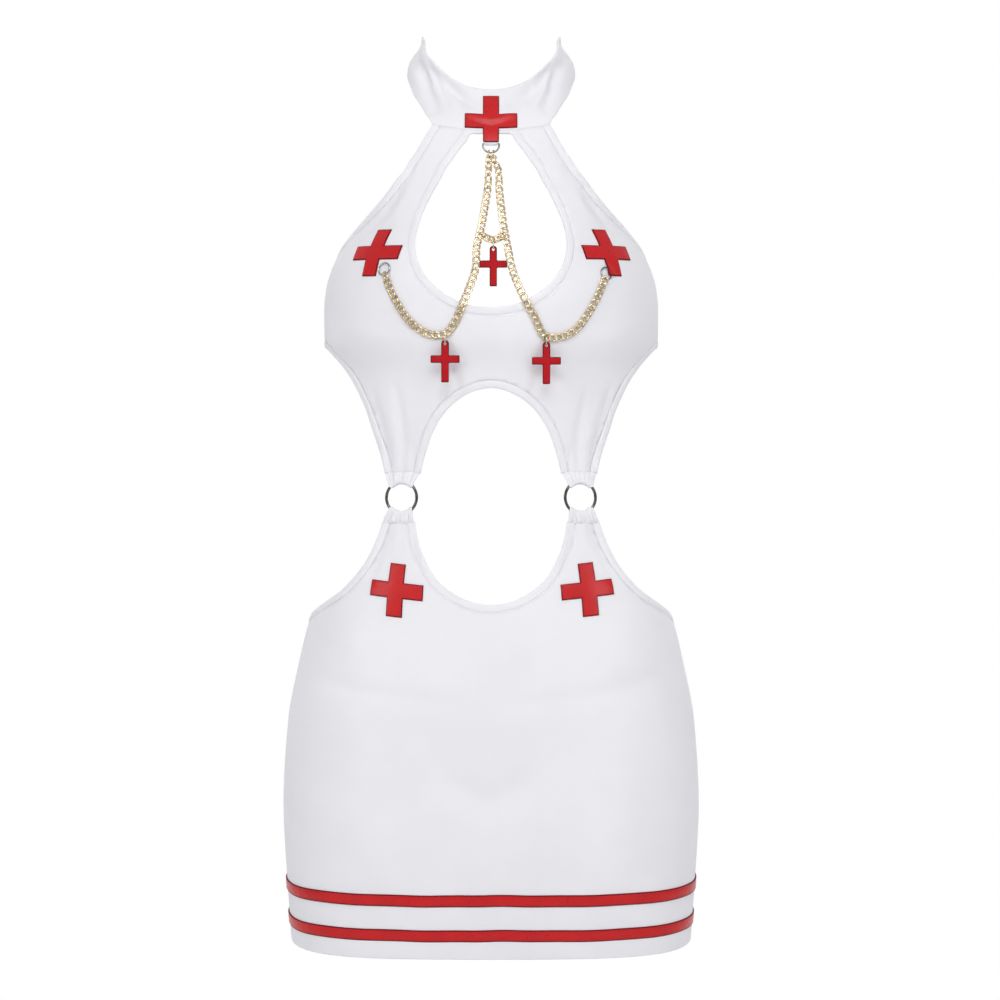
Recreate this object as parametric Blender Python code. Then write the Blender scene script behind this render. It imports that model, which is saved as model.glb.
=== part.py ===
"""Halter nurse dress with keyhole, bare sides of the midriff and two waist rings, filled out as when worn."""

import math

import bpy
import numpy as np
from mathutils import Vector
from mathutils.geometry import delaunay_2d_cdt

for old in list(bpy.data.objects):
    bpy.data.objects.remove(old, do_unlink=True)

# Dimensions in millimetres. Turn is the angle round the body in degrees: 0 at centre front, 90 at its
# +X side, 180 at centre back. Height is z, 0 at the middle of the neck.
MM = 0.001
CLOTH = 1.5
DOUBLED = 2.2
TAPE = 1.0
GAP = 0.3
BAND = 6.3
TURN_MM = 2.0
SIDE_SEAM = 0.06
PITCH = 8.0
PANEL_STEP_TURN = 6
HEM = -690.0
HEM_SIDE_LIFT = 4.0
HEM_TAPES = {"hem_tape_upper": (-648.0, -639.3), "hem_tape_lower": (-675.7, -667.0)}
SKIRT_ROWS = (-675.7, -667.0, -648.0, -639.3, -610, -580, -550, -520, -490, -462, -436, -412, -390, -368)
BODICE_ROW_STEP = 12.0
UPPER_LOOP_SEAM = -307.0
LOWER_LOOP_SEAM = -345.5
UPPER_LOOP_TURNS = (35.4, 51.0)
LOWER_LOOP_TURNS = (36.7, 52.0)

COLLAR_OVERLAP_TURN = 192
COLLAR_ROWS = 4
COLLAR_PART = 1.25
STUD_HEIGHTS = (6.0, -9.0)
STUD_RADIUS = 4.5

WAIST_RING_CENTRE = (71.2, -76.2, -326.0)
WAIST_RING_FACING = (0.345, -0.938, 0.04)
WAIST_RING_RADIUS = 12.45
WAIST_RING_WIRE = 1.15
LOOP_COLUMNS = 11
LOOP_SPREAD = 50
LOOP_TUNNEL = 1.55
LOOP_FOLD = 2.75
LOOP_SEAM_HALF = 1.3

CROSS_ARM = 12.4
CROSS_SPAN = 44.0
COLLAR_CROSS_SPAN = 41.5
COLLAR_CROSS_HEIGHT = -23.2
BUST_RING_RADIUS = 5.0
BUST_RING_WIRE = 0.6
D_RING_WIDTH = 12.6
D_RING_WIRE = 0.7
D_RING_LIFT = -1.2
D_RING_HEIGHT = -44.4
D_RING_BAR = 6.2
D_RING_TAB = 8.0
CHAIN_RADIUS = 2.2
CHAIN_PITCH = 10.0
PENDANT_WIDTH = 22.0
PENDANT_LENGTH = 32.2
PENDANT_ARM = 5.8
PENDANT_BAR_BELOW_TOP = 14.6
PENDANT_THICK = 2.0
PENDANT_HOLE = 1.1
JUMP_RING_RADIUS = 2.6
JUMP_RING_WIRE = 0.45

# height, half_width, front, back, roundness
BODY = (
    (60, 57.0, 40.0, 50, 2.2),
    (52, 57.2, 41.0, 51, 2.2),
    (45, 57.6, 42.0, 52, 2.2),
    (40, 60.5, 42.5, 53, 2.2),
    (34, 65.5, 43.0, 54, 2.2),
    (27, 68.4, 43.5, 55, 2.2),
    (18, 69.0, 44.5, 57, 2.2),
    (8, 69.0, 46.5, 59, 2.2),
    (-2, 72.0, 50.5, 60, 2.2),
    (-12, 80.0, 56.0, 62, 2.2),
    (-25, 95.0, 63.0, 65, 2.2),
    (-41, 103.0, 70.0, 71, 2.2),
    (-90, 109.0, 82.5, 85, 2.2),
    (-110, 116.0, 90.5, 89, 2.2),
    (-124, 124.8, 98.5, 92, 2.2),
    (-140, 132.4, 106.0, 94, 2.2),
    (-156, 136.1, 111.0, 95, 2.2),
    (-172, 137.0, 112.5, 95, 2.2),
    (-197, 137.0, 108.0, 93, 2.2),
    (-222, 130.5, 100.0, 88, 2.3),
    (-246, 123.5, 94.0, 83, 2.4),
    (-271, 117.5, 89.0, 79, 2.6),
    (-297, 113.0, 85.5, 76, 2.8),
    (-322, 112.0, 84.0, 75, 3.0),
    (-345, 114.5, 85.5, 77, 3.0),
    (-372, 124.0, 90.0, 84, 3.0),
    (-398, 137.0, 96.0, 93, 3.0),
    (-426, 149.5, 101.0, 101, 3.0),
    (-459, 157.9, 106.0, 108, 3.0),
    (-508, 167.0, 110.0, 114, 3.0),
    (-574, 170.6, 110.5, 115, 3.0),
    (-640, 167.0, 109.5, 112, 3.0),
    (-706, 162.0, 106.0, 108, 3.0),
)

# Edges of the +X half, as (turn, height); the -X half mirrors them.
COLLAR_TOP = (
    (0, 2), (26.7, 7.4), (37.2, 12.6), (44.5, 17.9), (50.8, 23.1), (54.6, 28.3), (60.3, 33.7), (74, 44.5),
    (90, 51), (101, 44), (112, 37), (128, 28), (147, 19.5), (165, 15.5), (180, 14),
)
COLLAR_FOOT = (
    (0, -33), (13.6, -32.6), (27, -29.8), (39, -26.8), (41.9, -22.8), (47.2, -17.3), (52.7, -11.7),
    (59.6, -5.9), (67.2, 0), (73.5, 5.8), (78.8, 11.4), (85.9, 17.4), (90, 20), (105, 14), (125, 1),
    (150, -12), (180, -18),
)
ARMHOLE = (
    (38.4, -22), (40.1, -31.4), (41.7, -39.6), (43.8, -47.7), (46.7, -55.6), (49.1, -63.6), (52.8, -71.3),
    (56, -79.1), (59.6, -86.8), (63.8, -94.4), (68.5, -101.9), (73.9, -109.3), (80, -117.5), (90, -127.5),
    (105, -138), (120, -147), (140, -156), (160, -163), (180, -165),
)
KEYHOLE = (
    (0, -35.5), (10, -35.5), (14, -36), (15.5, -40.5), (19.8, -48.7), (23.4, -56.8), (26.8, -64.8),
    (28.9, -72.9), (31.5, -80.9), (33.3, -89), (34.8, -97.1), (35.5, -105.3), (35.4, -113.5), (33.8, -126),
    (31.1, -138.4), (28.8, -146.6), (25.5, -154.8), (20.9, -162.8), (14.3, -170.9), (0, -176.4),
)
ARCH = (
    (0, -239.5), (5.9, -241), (15.8, -248.9), (21.2, -256.7), (27.8, -272.5), (32, -288.3), (35.3, -305),
    (36.5, -314),
)
LOWER = (
    (50.3, -314), (51.2, -304), (53.5, -288), (56, -272), (58.4, -256), (62.4, -239.7), (69.4, -223.2),
    (74.5, -214.5), (81, -207), (90, -203.5), (110, -203.5), (180, -205),
)
MIDRIFF = (
    (37.2, -336), (36.7, -345), (34.6, -359.8), (30.6, -375.6), (24.6, -391.3), (19.5, -399.1),
    (11.4, -407), (0, -410.9),
)
HIP = (
    (50.2, -336), (50.9, -345.5), (52.1, -360), (54.1, -375.9), (57.6, -391.9), (60.6, -399.9),
    (66.3, -408.2), (75.7, -417), (90, -424), (110, -429), (140, -431), (180, -431),
)

# name: turn, height, lean in degrees
CROSSES = {
    "cross_bust_left": (-50.6, -130.3, -3.5),
    "cross_bust_right": (50.5, -130.2, 3.8),
    "cross_hip_left": (-39.8, -399.7, -2.9),
    "cross_hip_right": (40.7, -399.1, 4.2),
}
BUST_RINGS = {"bust_ring_left": (-44.5, -144.2), "bust_ring_right": (44.6, -148.5)}

# Chain routes down the front: turn, height, lift
CHAINS = {
    "chain_left": (
        (-0.8, -53.0, 3.3), (-1.4, -66.1, 3.3), (-1.8, -80.6, 3.3), (-3.3, -96.7, 3.3), (-4.6, -112.7, 3.3),
        (-6.25, -129.4, 3.3), (-6.45, -146.0, 3.3), (-9.1, -162.7, 3.6), (-11.6, -174.5, 3.8),
        (-14.0, -185.6, 3.6), (-18.3, -196.5, 3.4), (-24.5, -197.5, 3.4), (-30.3, -191.4, 3.4),
        (-34.4, -182.7, 3.4), (-37.6, -172.2, 3.4), (-40.8, -161.0, 3.4), (-43.3, -149.6, 3.2),
    ),
    "chain_right": (
        (3.6, -53.0, 3.3), (4.4, -66.1, 3.3), (4.7, -80.6, 3.3), (5.5, -96.7, 3.3), (6.3, -112.7, 3.3),
        (7.5, -129.4, 3.3), (8.9, -146.0, 3.3), (11.9, -162.6, 3.6), (14.4, -172.8, 3.8),
        (17.3, -182.3, 3.6), (23.0, -199.5, 3.4), (28.0, -199.4, 3.4), (33.5, -194.7, 3.4),
        (38.2, -183.0, 3.4), (42.0, -170.1, 3.4), (43.9, -154.2, 3.2),
    ),
    "chain_centre": (
        (-2.9, -120.8, 3.3), (-0.9, -122.7, 3.3), (1.1, -123.6, 3.3), (2.9, -122.9, 3.3), (4.6, -120.9, 3.3),
    ),
}

# name of the pendant: where its jump ring hangs, as turn, height, lift
PENDANTS = {
    "pendant_left": (-18.6, -196.7, 3.4),
    "pendant_right": (22.5, -197.9, 3.4),
    "pendant_centre": (1.1, -123.6, 3.3),
}

COLOURS = {
    "white_knit": ((0.85, 0.86, 0.89, 1), 0.85, 0),
    "red_vinyl": ((0.42, 0.02, 0.025, 1), 0.3, 0),
    "dark_nickel": ((0.3, 0.3, 0.32, 1), 0.25, 1),
    "silver": ((0.72, 0.72, 0.72, 1), 0.2, 1),
    "gold": ((0.8, 0.62, 0.32, 1), 0.25, 1),
    "red_acrylic": ((0.5, 0.01, 0.02, 1), 0.15, 0),
}


def monotone(rows):
    """The smooth curve through (x, y) rows of rising x that never swings past them, as a function of x."""
    xs, ys = np.array(rows, float).T
    gaps = np.diff(xs)
    slopes = np.diff(ys) / gaps
    tangents = np.zeros(len(xs))
    tangents[0] = slopes[0]
    tangents[-1] = slopes[-1]
    for i in range(1, len(xs) - 1):
        if slopes[i - 1] * slopes[i] > 0:
            near = 2 * gaps[i] + gaps[i - 1]
            far = gaps[i] + 2 * gaps[i - 1]
            tangents[i] = (near + far) / (near / slopes[i - 1] + far / slopes[i])

    def value(x):
        x = np.clip(x, xs[0], xs[-1])
        i = np.clip(np.searchsorted(xs, x) - 1, 0, len(gaps) - 1)
        t = (x - xs[i]) / gaps[i]
        start = (2 * t - 3) * t * t + 1
        return (
            start * ys[i]
            + (1 - start) * ys[i + 1]
            + gaps[i] * t * (1 - t) * ((1 - t) * tangents[i] - t * tangents[i + 1])
        )

    return value


SECTION = [monotone([(row[0], row[k]) for row in reversed(BODY)]) for k in (1, 2, 3, 4)]
collar_top_height = monotone(COLLAR_TOP)
collar_foot_height = monotone(COLLAR_FOOT)


def skin(turn, height):
    """Points in millimetres on the middle of the cloth."""
    turn, height = np.broadcast_arrays(np.asarray(turn, float), np.asarray(height, float))
    half_width, front, back, roundness = (track(height) for track in SECTION)
    angle = np.radians(turn)
    depth = np.where(np.cos(angle) >= 0, front, back)
    across = np.abs(np.sin(angle)) / half_width
    along = np.abs(np.cos(angle)) / depth
    radius = (across**roundness + along**roundness) ** (-1 / roundness)
    return np.stack([radius * np.sin(angle), -radius * np.cos(angle), height], -1)


def unit(vectors):
    vectors = np.asarray(vectors, float)
    return vectors / np.linalg.norm(vectors, axis=-1, keepdims=True)


def outward(turn, height):
    step = 0.05
    round_body = skin(np.add(turn, step), height) - skin(np.subtract(turn, step), height)
    up_body = skin(turn, np.add(height, step)) - skin(turn, np.subtract(height, step))
    return unit(np.cross(round_body, up_body))


def place(turn, height, lift=0.0):
    """Points in millimetres, lifted outward from the middle of the cloth."""
    return skin(turn, height) + np.asarray(lift, float)[..., None] * outward(turn, height)


def spot_of(points):
    """Turn and height of points in millimetres."""
    points = np.asarray(points, float)
    turn = np.degrees(np.arctan2(points[..., 0], -points[..., 1]))
    return np.stack([turn, points[..., 2]], -1)


def both_halves(rows, about=0):
    """The rows from their last to their first, mirrored about a turn that they start at, then the rows."""
    rows = np.array(rows, float)
    mirrored = rows[::-1] * (-1, 1) + (2 * about, 0)
    return np.vstack([mirrored[:-1], rows])


def smooth(rows, closed=False):
    """Path of about one point a millimetre through rows of (turn, height)."""
    rows = np.array(rows, float)
    count = len(rows)
    if closed:
        rows = np.vstack([rows[-2:], rows, rows[:3]])
    flat = rows * (TURN_MM, 1)
    run = np.concatenate([[0], np.cumsum(np.linalg.norm(np.diff(flat, axis=0), axis=1))])
    tangents = np.gradient(rows, run, axis=0)
    first, last = (2, count + 2) if closed else (0, count - 1)
    path = []
    for i in range(first, last):
        length = run[i + 1] - run[i]
        t = np.linspace(0, 1, max(2, math.ceil(length)), endpoint=False)[:, None]
        start = (2 * t - 3) * t * t + 1
        bend = (1 - t) * tangents[i] - t * tangents[i + 1]
        path.append(start * rows[i] + (1 - start) * rows[i + 1] + length * t * (1 - t) * bend)
    if not closed:
        path.append(rows[-1:])
    return np.vstack(path)


def spaced(path, pitch=PITCH, closed=False):
    """The path with points evenly spaced along the cloth, about a pitch apart."""
    if closed:
        path = np.vstack([path, path[:1]])
    steps = np.linalg.norm(np.diff(skin(path[:, 0], path[:, 1]), axis=0), axis=1)
    run = np.concatenate([[0], np.cumsum(steps)])
    count = 2 * round(run[-1] / pitch / 2)
    at = np.linspace(0, run[-1], count + 1)
    path = np.stack([np.interp(at, run, path[:, k]) for k in (0, 1)], -1)
    return path[:-1] if closed else path


def inset(path, distance, closed=False):
    """The path moved sideways over the cloth, to its left as seen from outside."""
    points = skin(path[:, 0], path[:, 1])
    if closed:
        along = np.roll(points, -1, axis=0) - np.roll(points, 1, axis=0)
    else:
        along = np.gradient(points, axis=0)
    left = unit(np.cross(outward(path[:, 0], path[:, 1]), along))
    moved = spot_of(points + distance * left)
    moved[:, 0] += 360 * np.round((path[:, 0] - moved[:, 0]) / 360)
    return moved


def clip(path, kept):
    """The part of the path where kept(turn, height) is above zero, cut exactly where it is zero."""
    measure = kept(path[:, 0], path[:, 1])
    result = []
    for i in range(len(path)):
        if i and (measure[i - 1] > 0) != (measure[i] > 0):
            share = measure[i - 1] / (measure[i - 1] - measure[i])
            result.append(path[i - 1] + share * (path[i] - path[i - 1]))
        if measure[i] > 0:
            result.append(path[i])
    return np.array(result)


def joined_open(*paths):
    """One path from paths that follow each other, without points closer than half a millimetre."""
    spots = np.vstack([path for path in paths if len(path)])
    points = skin(spots[:, 0], spots[:, 1])
    kept = [0]
    for i in range(1, len(spots)):
        if np.linalg.norm(points[i] - points[kept[-1]]) > 0.5:
            kept.append(i)
    return spots[kept]


def joined(*paths):
    """One closed outline from paths that follow each other."""
    spots = joined_open(*paths)
    apart = np.linalg.norm(skin(*spots[-1]) - skin(*spots[0]))
    return spots if apart > 0.5 else spots[:-1]


def straight(start, end, step):
    """Points between two spots, without the two spots themselves."""
    length = np.linalg.norm(skin(*start) - skin(*end))
    count = max(1, round(length / step))
    share = np.linspace(0, 1, count + 1)[1:-1, None]
    return np.array(start) + share * (np.array(end) - np.array(start))


def inside(spots, outline):
    """Whether each spot lies inside the closed outline."""
    x, y = spots[:, :1], spots[:, 1:]
    x0, y0 = outline[:, 0], outline[:, 1]
    x1, y1 = np.roll(x0, -1), np.roll(y0, -1)
    crosses = (y0 > y) != (y1 > y)
    at = x0 + (y - y0) / np.where(y1 == y0, 1e-9, y1 - y0) * (x1 - x0)
    return (np.sum(crosses & (x < at), axis=1) % 2) == 1


def nearest(spots, others):
    """Distance in millimetres from each spot to the nearest of the others."""
    flat = spots * (TURN_MM, 1)
    return np.min(np.linalg.norm(flat[:, None] - (others * (TURN_MM, 1))[None], axis=2), axis=1)


def fill(outline, lattice=(), loops=(), lines=(), hole=()):
    """Triangles over the inside of an outline, with lattice spots as corners and loops and lines as edges."""
    spots = list(outline)
    edges = [(i, (i + 1) % len(outline)) for i in range(len(outline))]
    rings = [*loops, *([hole] if len(hole) else [])]
    for line, is_loop in [(loop, True) for loop in rings] + [(line, False) for line in lines]:
        first = len(spots)
        spots += list(line)
        edges += [(i, i + 1) for i in range(first, len(spots) - 1)]
        if is_loop:
            edges.append((len(spots) - 1, first))
    if len(lattice):
        lattice = np.array(lattice, float)
        lattice = lattice[inside(lattice, outline)]
        spots += list(lattice[nearest(lattice, np.array(spots)) > 0.45 * PITCH])
    flat = [Vector((turn * TURN_MM, height)) for turn, height in spots]
    corners, _, faces, *_ = delaunay_2d_cdt(flat, edges, [], 1, 1e-4)
    corners = np.array([(corner.x / TURN_MM, corner.y) for corner in corners])
    if len(hole):
        in_hole = inside(corners[np.array(faces)].mean(axis=1), hole)
        faces = [face for face, gone in zip(faces, in_hole) if not gone]
    triangles = []
    for a, b, c in faces:
        turned = np.cross(corners[b] - corners[a], corners[c] - corners[a])
        triangles.append((a, b, c) if turned > 0 else (a, c, b))
    return corners, triangles


materials = {}


def material(name):
    if name not in materials:
        colour, roughness, metallic = COLOURS[name]
        made = bpy.data.materials.new(name)
        made.use_nodes = True
        shader = made.node_tree.nodes["Principled BSDF"]
        shader.inputs["Base Color"].default_value = colour
        shader.inputs["Roughness"].default_value = roughness
        shader.inputs["Metallic"].default_value = metallic
        made.diffuse_color = colour
        materials[name] = made
    return materials[name]


def solid(name, points, faces, colour, origin=(0, 0, 0)):
    """Object from points in millimetres, faced outward, with its origin where it turns or is held."""
    points = np.asarray(points, float)
    faces = [tuple(int(corner) for corner in face) for face in faces]
    fans = np.array([(face[0], face[i], face[i + 1]) for face in faces for i in range(1, len(face) - 1)])
    if np.linalg.det(points[fans] - points.mean(axis=0)).sum() < 0:
        faces = [face[::-1] for face in faces]
    mesh = bpy.data.meshes.new(name)
    mesh.from_pydata((points - origin) * MM, [], faces)
    mesh.materials.append(material(colour))
    mesh.validate()
    made = bpy.data.objects.new(name, mesh)
    made.location = Vector(origin) * MM
    bpy.context.scene.collection.objects.link(made)
    return made


def wall(name, spots, faces, inner, outer, colour):
    """Cloth of even thickness over faces of spots, between two lifts, closed all round its edges."""
    used = sorted({corner for face in faces for corner in face})
    number = {corner: i for i, corner in enumerate(used)}
    faces = [[number[corner] for corner in face] for face in faces]
    spots = np.asarray(spots)[used]
    count = len(spots)
    sides = {(face[i - 1], face[i]) for face in faces for i in range(len(face))}
    rim = [(b, a, a + count, b + count) for a, b in sides if (b, a) not in sides]
    under = [[corner + count for corner in reversed(face)] for face in faces]
    inner = np.broadcast_to(inner, len(number) if np.ndim(inner) == 0 else np.shape(inner))
    outer = np.broadcast_to(outer, len(number) if np.ndim(outer) == 0 else np.shape(outer))
    turn, height = spots[:, 0], spots[:, 1]
    points = np.vstack([place(turn, height, outer), place(turn, height, inner)])
    return solid(name, points, [*faces, *under, *rim], colour)


def panel(name, outline, lattice, loops=(), lines=()):
    """Single knit panel; returns its spots and triangles for the pieces laid on it."""
    spots, triangles = fill(outline, lattice, loops, lines)
    wall(name, spots, triangles, -CLOTH / 2, CLOTH / 2, "white_knit")
    return spots, triangles


def strip_faces(rows, columns, closed=False):
    """Quads of a grid numbered row by row, its rows bottom to top and its columns in rising turn."""
    last = columns if closed else columns - 1
    faces = []
    for low in range(0, (rows - 1) * columns, columns):
        high = low + columns
        for c in range(last):
            after_c = (c + 1) % columns
            faces.append((low + c, low + after_c, high + after_c, high + c))
    return faces


def binding(name, edge, *limits):
    """Doubled binding along an edge, cut off at each limit."""
    outer_edge = edge
    inner_edge = inset(edge, BAND)
    for limit in limits:
        outer_edge = clip(outer_edge, limit)
        inner_edge = clip(inner_edge, limit)
    outline = joined(outer_edge, inner_edge[::-1])
    spots, triangles = fill(outline)
    wall(name, spots, triangles, -DOUBLED / 2, DOUBLED / 2, "white_knit")


def hem_rise(turn):
    return HEM_SIDE_LIFT * np.sin(np.radians(turn)) ** 6


def below_collar(turn, height):
    return collar_foot_height(np.abs(turn)) - GAP - height


def below_collar_back_too(turn, height):
    """The same below the collar for turns counted up to 360."""
    return below_collar(np.minimum(np.abs(turn), np.abs(360 - turn)), height)


def above_upper_loops(turn, height):
    return height - (UPPER_LOOP_SEAM + GAP / 2)


def below_lower_loops(turn, height):
    return LOWER_LOOP_SEAM - GAP / 2 - height


def before(side):
    """Keeps what lies at smaller turns than the side seam."""
    return lambda turn, height: side - SIDE_SEAM - turn


def after(side):
    """Keeps what lies at larger turns than the side seam."""
    return lambda turn, height: turn - side - SIDE_SEAM


def right_half(path):
    return path[path[:, 0] > -1e-6]


def seam_line(start, end):
    """Spots along the seam under the collar, from one turn to the other."""
    count = max(2, round(abs(end - start) * TURN_MM / PITCH) + 1)
    turns = np.linspace(start, end, count)
    return np.stack([turns, collar_foot_height(np.abs(turns)) - GAP], -1)


def hem_line(height, turns):
    """Spots along the hem or a line parallel to it."""
    return np.array([(turn, height + hem_rise(turn)) for turn in turns])


def side_rows(side, end):
    """Spots up a side seam of the skirt, as far as the end spot."""
    hem_rows = hem_line(HEM, [side]).tolist() + [hem_line(height, [side])[0] for height in SKIRT_ROWS[:4]]
    return np.array([*hem_rows, *[(side, height) for height in SKIRT_ROWS[4:] if height < end[1] - 4]])


def mirrored_outline(half):
    """Closed outline from its +X half, which runs from centre front back to centre front."""
    other = half[::-1] * (-1, 1)
    return np.vstack([half, other[1:-1]])


def cross_outline(turn, height, lean, span=CROSS_SPAN, cut=6.0):
    """Outline of an equal-armed cross laid on the cloth, as spots no further apart than the cut."""
    arm = CROSS_ARM / 2
    tip = span / 2
    corners = [(arm, -tip), (arm, -arm), (tip, -arm), (tip, arm), (arm, arm), (arm, tip)]
    corners += [(-x, -y) for x, y in corners]
    normal = outward(turn, height)
    across = unit(np.cross((0, 0, 1), normal))
    up = np.cross(normal, across)
    angle = math.radians(lean)
    right = math.cos(angle) * across + math.sin(angle) * up
    top = math.cos(angle) * up - math.sin(angle) * across
    flat = []
    for i, start in enumerate(corners):
        end = corners[(i + 1) % len(corners)]
        count = math.ceil(math.dist(start, end) / cut)
        flat += [np.add(start, np.subtract(end, start) * step / count) for step in range(count)]
    points = [skin(turn, height) + x * right + y * top for x, y in flat]
    return spot_of(points)


def cross_patch(name, spots, triangles, outline, base):
    """Vinyl cross over the cloth's own triangles inside the outline, lying a gap above it."""
    centres = np.array([spots[list(face)].mean(axis=0) for face in triangles])
    chosen = [face for face, is_in in zip(triangles, inside(centres, outline)) if is_in]
    wall(name, spots, chosen, base, base + TAPE, "red_vinyl")


def staggered(start, end, heights):
    """Spots over the cloth between two turns, every other row shifted by half a step."""
    turns = np.arange(start, end, PANEL_STEP_TURN)
    return [
        (turn + (0.5 * PANEL_STEP_TURN if row % 2 else 0), height)
        for row, height in enumerate(heights)
        for turn in turns
    ]


def ring(name, centre, facing, path, wire, sides, colour, origin=None):
    """Round wire along a closed path of (across, up) points in the plane square to the facing direction."""
    facing = unit(facing)
    across = unit(np.cross((0, 0, 1), facing)) if abs(facing[2]) < 0.9 else np.array((1.0, 0, 0))
    up = np.cross(facing, across)
    line = np.array([np.asarray(centre) + x * across + y * up for x, y in path])
    along = unit(np.roll(line, -1, axis=0) - np.roll(line, 1, axis=0))
    out = np.cross(along, facing)
    angles = np.arange(sides) * 2 * math.pi / sides
    points = [line + wire * (math.cos(a) * out + math.sin(a) * facing) for a in angles]
    points = np.stack(points, 1).reshape(-1, 3)
    count = len(line)
    faces = []
    for i in range(count):
        here = i * sides
        there = (i + 1) % count * sides
        for j in range(sides):
            after_j = (j + 1) % sides
            faces.append((here + j, there + j, there + after_j, here + after_j))
    return solid(name, points, faces, colour, centre if origin is None else origin)


def arc_points(radius):
    """Half circle of five points, from the front over the bottom to the back, as (up, out)."""
    return [(radius * math.cos(a), radius * math.sin(a)) for a in np.radians((90, 135, 180, 225, 270))]


def circle(radius, count):
    angles = np.arange(count) * 2 * math.pi / count
    return [(radius * math.cos(a), radius * math.sin(a)) for a in angles]


def sleeve(name, outer, inner, colour):
    """Solid with a tunnel through it, from outer and inner sections; its ends are closed round the tunnel."""
    columns, count, _ = outer.shape
    points = np.concatenate([outer.reshape(-1, 3), inner.reshape(-1, 3)])
    shift = columns * count

    def at(column, corner):
        return column * count + corner % count

    faces = []
    for k in range(columns - 1):
        for i in range(count):
            side = (at(k, i), at(k, i + 1), at(k + 1, i + 1), at(k + 1, i))
            faces.append(side)
            faces.append(tuple(shift + corner for corner in reversed(side)))
    last = columns - 1
    for i in range(count):
        faces.append((at(0, i + 1), at(0, i), shift + at(0, i), shift + at(0, i + 1)))
        faces.append((at(last, i), at(last, i + 1), shift + at(last, i + 1), shift + at(last, i)))
    return solid(name, points, faces, colour)


def waist_loop(name, side, up_sign, turns, seam):
    """Gathered loop folded round the waist ring, from its seam on the tab to the fold inside the ring."""
    centre = np.array(WAIST_RING_CENTRE) * (side, 1, 1)
    facing = unit(np.array(WAIST_RING_FACING) * (side, 1, 1))
    across = unit(np.cross((0, 0, 1), facing))
    up = np.cross(facing, across)
    outer = []
    inner = []
    for column, share in enumerate(np.linspace(-1, 1, LOOP_COLUMNS)):
        angle = math.radians(LOOP_SPREAD * share)
        radial = math.sin(angle) * across + up_sign * math.cos(angle) * up
        wire = centre + WAIST_RING_RADIUS * radial
        middle = (turns[0] + turns[1]) / 2
        turn = side * middle + share * (turns[1] - turns[0]) / 2
        seam_front, seam_middle, seam_back = place(turn, seam, np.array((1, 0, -1)) * LOOP_SEAM_HALF)
        gather = 0.35 if column % 2 else -0.15
        leg = wire + 0.5 * (seam_middle - wire)
        fold = [wire + x * radial + y * facing for x, y in arc_points(LOOP_FOLD)]
        tunnel = [wire + x * radial + y * facing for x, y in arc_points(LOOP_TUNNEL)]
        toward = unit(unit(seam_middle - wire) + 2 * radial)
        outer.append(
            [
                seam_front,
                leg + (2.0 + gather) * facing,
                *fold,
                leg - (2.0 + gather) * facing,
                seam_back,
                seam_middle,
            ]
        )
        inner.append(
            [
                wire + 1.75 * toward + 0.5 * facing,
                wire + 1.15 * toward + 1.05 * facing,
                *tunnel,
                wire + 1.15 * toward - 1.05 * facing,
                wire + 1.75 * toward - 0.5 * facing,
                wire + 1.95 * toward,
            ]
        )
    return sleeve(name, np.array(outer), np.array(inner), "white_knit")


def plate(name, outline, hole, centre, colour, origin):
    """Flat plate facing the front, from an outline and a hole of (x, z) points round the centre."""
    flat = [Vector(point) for point in [*outline, *hole]]
    rings = [list(range(len(outline))), list(range(len(outline), len(flat)))]
    corners, _, triangles, *_ = delaunay_2d_cdt(flat, [], rings, 2, 1e-4)
    corners = np.array([(corner.x, corner.y) for corner in corners])
    faces = []
    for a, b, c in triangles:
        turned = np.cross(corners[b] - corners[a], corners[c] - corners[a])
        faces.append((a, b, c) if turned > 0 else (a, c, b))
    count = len(corners)
    sides = {(face[i - 1], face[i]) for face in faces for i in range(3)}
    rim = [(b, a, a + count, b + count) for a, b in sides if (b, a) not in sides]
    under = [tuple(corner + count for corner in reversed(face)) for face in faces]
    front = np.stack([corners[:, 0], np.full(count, -PENDANT_THICK / 2), corners[:, 1]], -1) + centre
    back = front + (0, PENDANT_THICK, 0)
    return solid(name, np.vstack([front, back]), [*faces, *under, *rim], colour, origin)


def pendant_outline():
    """Long cross with a round top, from the hole downward."""
    half = PENDANT_ARM / 2
    top = PENDANT_HOLE + 1.9
    foot = top - PENDANT_LENGTH
    bar = top - PENDANT_BAR_BELOW_TOP
    tip = PENDANT_WIDTH / 2
    right = [(half, foot), (half, bar - half), (tip, bar - half), (tip, bar + half), (half, bar + half)]
    crown = [(half * math.cos(a), top - half + half * math.sin(a)) for a in np.radians(range(0, 181, 30))]
    return right + crown + [(-x, z) for x, z in reversed(right)]


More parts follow.
